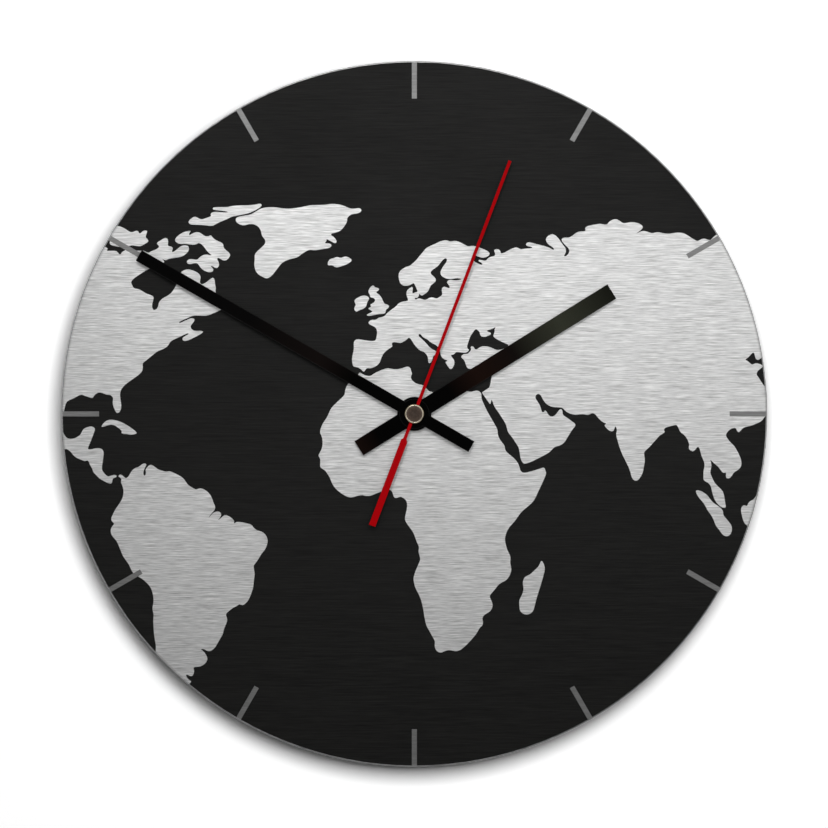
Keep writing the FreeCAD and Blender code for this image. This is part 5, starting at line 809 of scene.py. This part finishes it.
@dataclass
class MovementCase:
    """The case, the bridge, the setting knob and the cover with its turning arrow."""

    columns: int = 360
    opening_gap: float = 0.4 * MILLIMETRE
    opening_bevel: float = 0.3 * MILLIMETRE
    edge_bevel: float = 0.2 * MILLIMETRE
    groove_inside: float = 1.2 * MILLIMETRE
    groove_width: float = 0.6 * MILLIMETRE
    groove_depth: float = 0.3 * MILLIMETRE
    groove_wall: float = 0.12 * MILLIMETRE
    groove_field: float = 2.6 * MILLIMETRE
    arrow_start: float = math.radians(20)
    arrow_end: float = math.radians(160)
    head_length: float = math.radians(14)
    head_half_width: float = 1.0 * MILLIMETRE

    def groove(self, offset: np.ndarray, bearing: np.ndarray) -> np.ndarray:
        """Depth of the turning arrow sunk into the cover: an arc about the knob that ends in a point.

        Args:
            offset: rows of distances from the edge of the opening.
            bearing: columns of angles about the knob.

        Returns:
            The depth at each row and column.
        """
        middle = self.groove_inside + self.groove_width / 2
        past = np.clip((bearing - self.arrow_end) / self.head_length, -1.0, 1.0)
        head = np.where(past < 0, 0.0, (1 - past) * self.head_half_width)
        shaft = np.where((bearing > self.arrow_start) & (past < 0), self.groove_width / 2, 0.0)
        half = np.maximum(head, shaft)
        inside = np.clip((half - np.abs(offset - middle)) / self.groove_wall, 0.0, 1.0)
        return self.groove_depth * inside * (half > 0)

    def cover(self) -> bpy.types.Object:
        """The back cover: rings that open out from the knob's opening to the cover's own outline.

        Each point lies on a ray from the knob's axis. Its ring gives its distance from the opening, and the
        last rings lie where the ray meets the nearest side of the cover.

        Returns:
            The object that stands for the plain cover.
        """
        low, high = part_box("case_back")
        knob_low, knob_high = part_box("set_knob")
        centre = np.array([(knob_low.x + knob_high.x) / 2, (knob_low.z + knob_high.z) / 2])
        opening = (knob_high.x - knob_low.x) / 2 + self.opening_gap
        thickness = high.y - low.y
        bearing = np.linspace(0.0, 2 * math.pi, self.columns, endpoint=False)
        ray = np.stack([np.cos(bearing), np.sin(bearing)], axis=1)
        sides = np.where(ray > 0, np.array([high.x, high.z]), np.array([low.x, low.z])) - centre
        with np.errstate(divide="ignore"):
            reach = np.min(np.abs(sides / ray), axis=1)
        fine = np.arange(0.0, self.groove_field, self.groove_wall) + self.opening_bevel
        offset = np.append(0.0, fine)[:, None]
        face_depths = self.groove(offset, bearing[None, :])
        face_depths[0] = self.opening_bevel
        face_radii = np.broadcast_to(opening + offset, face_depths.shape)
        side_radii = np.stack([reach - self.edge_bevel, reach, reach, np.full(self.columns, opening)])
        side_depths = np.array([0.0, self.edge_bevel, thickness, thickness])[:, None]
        radii = np.concatenate([face_radii, side_radii])
        depths = np.concatenate([face_depths, np.broadcast_to(side_depths, side_radii.shape)])
        points = centre + radii[:, :, None] * ray[None, :, :]
        grid = np.stack([points[:, :, 0], high.y - depths, points[:, :, 1]], axis=-1)
        return Surfaces.piece("movement_cover", grid, looped=True)

    def build(self, finishes: Finishes) -> None:
        """Dresses the case and adds the cover.

        Args:
            finishes: the clock's finishes.
        """
        finishes.dress("case_plastic", "case_front")
        finishes.dress("bridge_plastic", "train_bridge")
        finishes.dress("screw_steel", "bridge_screws")
        finishes.dress("knob_plastic", "set_knob")
        finishes.stand_in(self.cover(), "case_back", "case_plastic", "clock_body")


@dataclass
class Works:
    """The train, the motor and the circuit behind the dial."""

    wire_diameter: float = 0.24 * MILLIMETRE
    rows_per_turn: int = 6
    columns: int = 48
    former_radius: float = 2.22 * MILLIMETRE

    def winding(self) -> bpy.types.Object:
        """The coil: its radius follows the round back of the wire, which climbs one turn in each round.

        Returns:
            The object that stands for the plain winding.
        """
        low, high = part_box("coil_winding")
        radius = (high.z - low.z) / 2
        turns = (high.x - low.x) / self.wire_diameter
        along = np.linspace(low.x, high.x, int(turns * self.rows_per_turn))
        bearing_share = np.arange(self.columns) / self.columns
        phase = (along[:, None] / self.wire_diameter + bearing_share[None, :]) % 1.0
        bulge = np.sqrt(1.0 - (2 * phase - 1) ** 2)
        outer = radius - self.wire_diameter / 2 * (1 - bulge)
        inner = np.full((2, self.columns), self.former_radius)
        places = np.concatenate([along, [high.x, low.x]])
        centre = ((low.y + high.y) / 2, (low.z + high.z) / 2)
        grid = Surfaces.around(np.concatenate([outer, inner]), places, centre, Axis.ACROSS)
        return Surfaces.piece("wound_wire", grid, looped=True)

    def build(self, finishes: Finishes) -> None:
        """Dresses the works and adds the wound coil.

        Args:
            finishes: the clock's finishes.
        """
        finishes.dress("train_plastic", "set_gear", "rotor_pinion", "intermediate_wheel", "second_wheel",
                       "third_wheel", "minute_wheel", "hour_wheel", "minute_arbor")
        finishes.dress("brass", "centre_gear")
        finishes.dress("arbor_steel", "second_arbor")
        finishes.dress("magnet", "rotor_magnet")
        finishes.dress("stator_iron", "stator", "coil_core")
        finishes.dress("bobbin_plastic", "coil_bobbin")
        finishes.dress("board", "circuit_board")
        finishes.dress("crystal_can", "quartz_crystal")
        finishes.dress("chip_resin", "clock_chip")
        finishes.dress("contact_metal", "contact_positive", "contact_negative")
        finishes.stand_in(self.winding(), "coil_winding", "copper", "clock_body")


@dataclass
class Battery:
    """The round cell and its shrunk sleeve."""

    sleeve_thickness: float = 0.15 * MILLIMETRE
    sleeve_gap: float = 0.02 * MILLIMETRE
    sleeve_lap: float = 1.1 * MILLIMETRE
    shoulder_round: float = 0.8 * MILLIMETRE
    dimple_depth: float = 0.35 * MILLIMETRE
    dimple_radius_share: float = 0.45
    crimp_radius_share: float = 0.62
    button_height: float = 1.3 * MILLIMETRE
    button_radius: float = 2.75 * MILLIMETRE
    button_round: float = 0.4 * MILLIMETRE
    button_seat: float = 0.2 * MILLIMETRE
    round_steps: int = 7

    def quarter(self, radius: float, place: float, size: float, start: float) -> np.ndarray:
        """A quarter of a circle in the profile, from a start angle on.

        Args:
            radius: the quarter's centre, from the axis.
            place: the quarter's centre, along the axis.
            size: the quarter's own radius.
            start: the angle where it starts.

        Returns:
            Rows of a radius and a place.
        """
        angle = np.linspace(start, start + math.pi / 2, self.round_steps)
        return np.stack([radius + size * np.cos(angle), place + size * np.sin(angle)], axis=1)

    def cell_profile(self, can: float, base: float, shoulder: float, tip: float) -> np.ndarray:
        """The cell's profile: a dimpled base, a round can, and a button on a sunk shoulder.

        Args:
            can: the can's radius.
            base: place of the base's rim along the axis.
            shoulder: place of the can's other end.
            tip: place of the button's end.

        Returns:
            Rows of a radius and a place.
        """
        bend = self.shoulder_round
        dimple = base + self.dimple_depth
        return np.concatenate([
            [[0.0, dimple], [can * self.dimple_radius_share, dimple], [can * self.crimp_radius_share, base]],
            self.quarter(can - bend, base + bend, bend, -math.pi / 2),
            self.quarter(can - bend, shoulder - bend, bend, 0.0),
            [[self.button_radius + bend, shoulder - self.button_seat], [self.button_radius, shoulder]],
            self.quarter(self.button_radius - self.button_round, tip - self.button_round,
                         self.button_round, 0.0),
            [[0.0, tip]]])

    def sleeve_profile(self, can: float, base: float, shoulder: float) -> np.ndarray:
        """The sleeve's profile: a thin wall round the can that laps over both of its ends.

        Args:
            can: the can's radius.
            base: place of the can's base along the axis.
            shoulder: place of the can's other end.

        Returns:
            Rows of a radius and a place, once round the wall.
        """
        bend = self.shoulder_round
        gap = self.sleeve_gap
        mouth = can - self.sleeve_lap
        inside = can + gap
        outside = can + self.sleeve_thickness
        return np.concatenate([
            [[mouth, base], [inside - bend, base]],
            self.quarter(outside - bend, base + bend, bend, -math.pi / 2),
            self.quarter(outside - bend, shoulder - bend, bend, 0.0),
            [[mouth, shoulder], [mouth, shoulder - gap]],
            self.quarter(inside - bend, shoulder - bend - gap, bend, 0.0)[::-1],
            self.quarter(inside - bend, base + bend + gap, bend, -math.pi / 2)[::-1],
            [[mouth, base + gap]]])

    def build(self, finishes: Finishes) -> None:
        """Adds the cell and the sleeve in place of the plain ones.

        Args:
            finishes: the clock's finishes.
        """
        low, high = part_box("battery_cell")
        centre = ((low.y + high.y) / 2, (low.z + high.z) / 2)
        can = (high.z - low.z) / 2
        shoulder = high.x - self.button_height
        cell = self.cell_profile(can, low.x, shoulder, high.x)
        sleeve = self.sleeve_profile(can, low.x, shoulder)
        finishes.stand_in(Surfaces.turned("round_cell", cell, centre, Axis.ACROSS),
                          "battery_cell", "cell_steel", "battery")
        finishes.stand_in(Surfaces.turned("shrunk_sleeve", sleeve, centre, Axis.ACROSS, looped=True),
                          "battery_sleeve", "cell_sleeve", "battery")


@dataclass(frozen=True)
class Lamp:
    """A square soft lamp aimed at the clock.

    Args:
        name: the lamp's name.
        place: where it stands.
        size: its width.
        power: its power in watts.
        diffuse: whether it lights paint.
        glossy: whether gloss shows it.
    """

    name: str
    place: Triple
    size: float
    power: float
    diffuse: bool = True
    glossy: bool = True

    def hang(self) -> bpy.types.Object:
        """Makes the lamp and turns it to the clock.

        Returns:
            The lamp.
        """
        data = bpy.data.lights.new(self.name, "AREA")
        data.size = self.size
        data.energy = self.power
        lamp = bpy.data.objects.new(self.name, data)
        towards = -np.array(self.place)
        tilt = math.acos(-towards[2] / np.linalg.norm(towards))
        lamp.location = self.place
        lamp.rotation_euler = (tilt, 0.0, math.atan2(towards[1], towards[0]) - math.pi / 2)
        lamp.visible_camera = False
        lamp.visible_diffuse = self.diffuse
        lamp.visible_glossy = self.glossy
        bpy.context.scene.collection.objects.link(lamp)
        return lamp


@dataclass
class Studio:
    """The wall, the light and the camera.

    The key lamp throws the shadow on the wall, the card is what metal and ink mirror, and the glint throws
    the hands' narrow shadows on the metal. Two more lamps light the clock's back.
    """

    photo_pixels: float = 828.0
    dial_centre_pixel: tuple[float, float] = (414.35, 413.9)
    dial_radius_pixel: float = 352.9
    camera_distance: float = 2.6
    sensor: float = 36.0
    wall_half: float = 4.0
    wall_colour: float = 1.42
    wall_bounce: float = 0.7
    first_bounce: float = 0.5
    ambient: float = 0.05
    front_gloss: float = 0.26
    rear_gloss: float = 1.0
    gloss_turn: float = 0.3
    white: float = 1.0
    lamps: tuple[Lamp, ...] = (
        Lamp("key", (0.12, -1.45, 0.24), 0.58, 17.0, glossy=False),
        Lamp("card", (0.12, -0.5, 0.24), 0.66, 0.98, diffuse=False),
        Lamp("glint", (-0.06, -1.45, 0.35), 0.14, 1.0, diffuse=False),
        Lamp("rear_0", (-0.9, 1.5, 0.8), 0.6, 14.0),
        Lamp("rear_1", (0.9, 1.6, 0.5), 0.6, 14.0))

    def wall(self) -> bpy.types.Object:
        """The plain wall that the clock hangs on.

        Returns:
            The wall.
        """
        half = self.wall_half
        mesh = bpy.data.meshes.new("wall")
        mesh.from_pydata([(-half, 0.0, -half), (half, 0.0, -half), (half, 0.0, half), (-half, 0.0, half)],
                         [], [(0, 1, 2, 3)])
        mesh.materials.append(self.wall_paint())
        wall = bpy.data.objects.new("wall", mesh)
        bpy.context.scene.collection.objects.link(wall)
        return wall

    def wall_paint(self) -> bpy.types.Material:
        """Pale paint that shows on one side only and lets the light of the other side through.

        Only light that reaches the clock straight passes, so that what the clock's back throws on the wall
        doesn't lighten its shadow.

        Returns:
            The material.
        """
        material = bpy.data.materials.new("wall")
        material.use_nodes = True
        tree = material.node_tree
        tree.nodes.remove(tree.nodes["Principled BSDF"])
        nodes = Nodes(tree)
        path = nodes.add("LightPath")
        paint = nodes.add("BsdfDiffuse")
        paleness = nodes.ranged(path.outputs["Is Camera Ray"], after=(self.wall_bounce, self.wall_colour))
        nodes.feed(paint.inputs["Color"], paleness)
        straight = nodes.maths("LESS_THAN", path.outputs["Diffuse Depth"], self.first_bounce)
        passing = nodes.maths("MULTIPLY", path.outputs["Is Shadow Ray"], straight)
        behind = nodes.add("NewGeometry").outputs["Backfacing"]
        choice = nodes.add("MixShader")
        nodes.feed(choice.inputs[0], nodes.maths("MAXIMUM", behind, passing))
        nodes.feed(choice.inputs[1], paint.outputs[0])
        nodes.feed(choice.inputs[2], nodes.add("BsdfTransparent").outputs[0])
        nodes.feed(tree.nodes["Material Output"].inputs["Surface"], choice.outputs[0])
        return material

    def sky(self) -> None:
        """Soft light from all round: white where it is seen, dim on paint and where the dial mirrors it."""
        world = bpy.data.worlds.new("studio")
        world.use_nodes = True
        bpy.context.scene.world = world
        nodes = Nodes(world.node_tree)
        background = world.node_tree.nodes["Background"]
        nodes.feed(background.inputs["Color"], (1.0, 1.0, 1.0, 1.0))
        path = nodes.add("LightPath")
        parts = nodes.add("SeparateXYZ")
        nodes.feed(parts.inputs[0], nodes.add("TexCoord").outputs["Generated"])
        mirrored = nodes.ranged(parts.outputs["Y"], (-self.gloss_turn, self.gloss_turn),
                                (self.front_gloss, self.rear_gloss))
        unseen = nodes.ranged(path.outputs["Is Glossy Ray"], after=(self.ambient, mirrored))
        seen = nodes.maths("MAXIMUM", path.outputs["Is Camera Ray"], path.outputs["Is Transmission Ray"])
        nodes.feed(background.inputs["Strength"], nodes.ranged(seen, after=(unseen, self.white)))

    def camera(self) -> bpy.types.Object:
        """The camera, square to the dial, with the dial as large and as placed as in the photograph.

        Returns:
            The camera.
        """
        low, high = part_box("dial_front_skin")
        pixel = (high.x - low.x) / 2 / self.dial_radius_pixel
        data = bpy.data.cameras.new("photo_camera")
        data.sensor_width = self.sensor
        data.lens = self.sensor * self.camera_distance / (pixel * self.photo_pixels)
        camera = bpy.data.objects.new("photo_camera", data)
        middle = self.photo_pixels / 2
        camera.location = ((middle - self.dial_centre_pixel[0]) * pixel, low.y - self.camera_distance,
                           (self.dial_centre_pixel[1] - middle) * pixel)
        camera.rotation_euler = (math.pi / 2, 0.0, 0.0)
        bpy.context.scene.collection.objects.link(camera)
        bpy.context.scene.camera = camera
        return camera

    def build(self) -> None:
        """Sets up the view, the wall and the light."""
        self.camera()
        bpy.context.scene.view_settings.view_transform = "Standard"
        self.wall()
        for lamp in self.lamps:
            lamp.hang()
        self.sky()
        LOG.info("stage: wall, camera and %d lamps", len(self.lamps))


def main() -> None:
    """Builds the studio, and the clock around its frame."""
    logging.basicConfig(level=logging.INFO, format="%(name)s: %(message)s")
    for item in list(bpy.data.objects):
        bpy.data.objects.remove(item)
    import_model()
    Studio().build()
    finishes = Finishes()
    for assembly in (Dial(), Clamp(), Hands(), MovementCase(), Works(), Battery()):
        assembly.build(finishes)
        LOG.info("%s done", type(assembly).__name__)


if __name__ == "__main__":
    main()
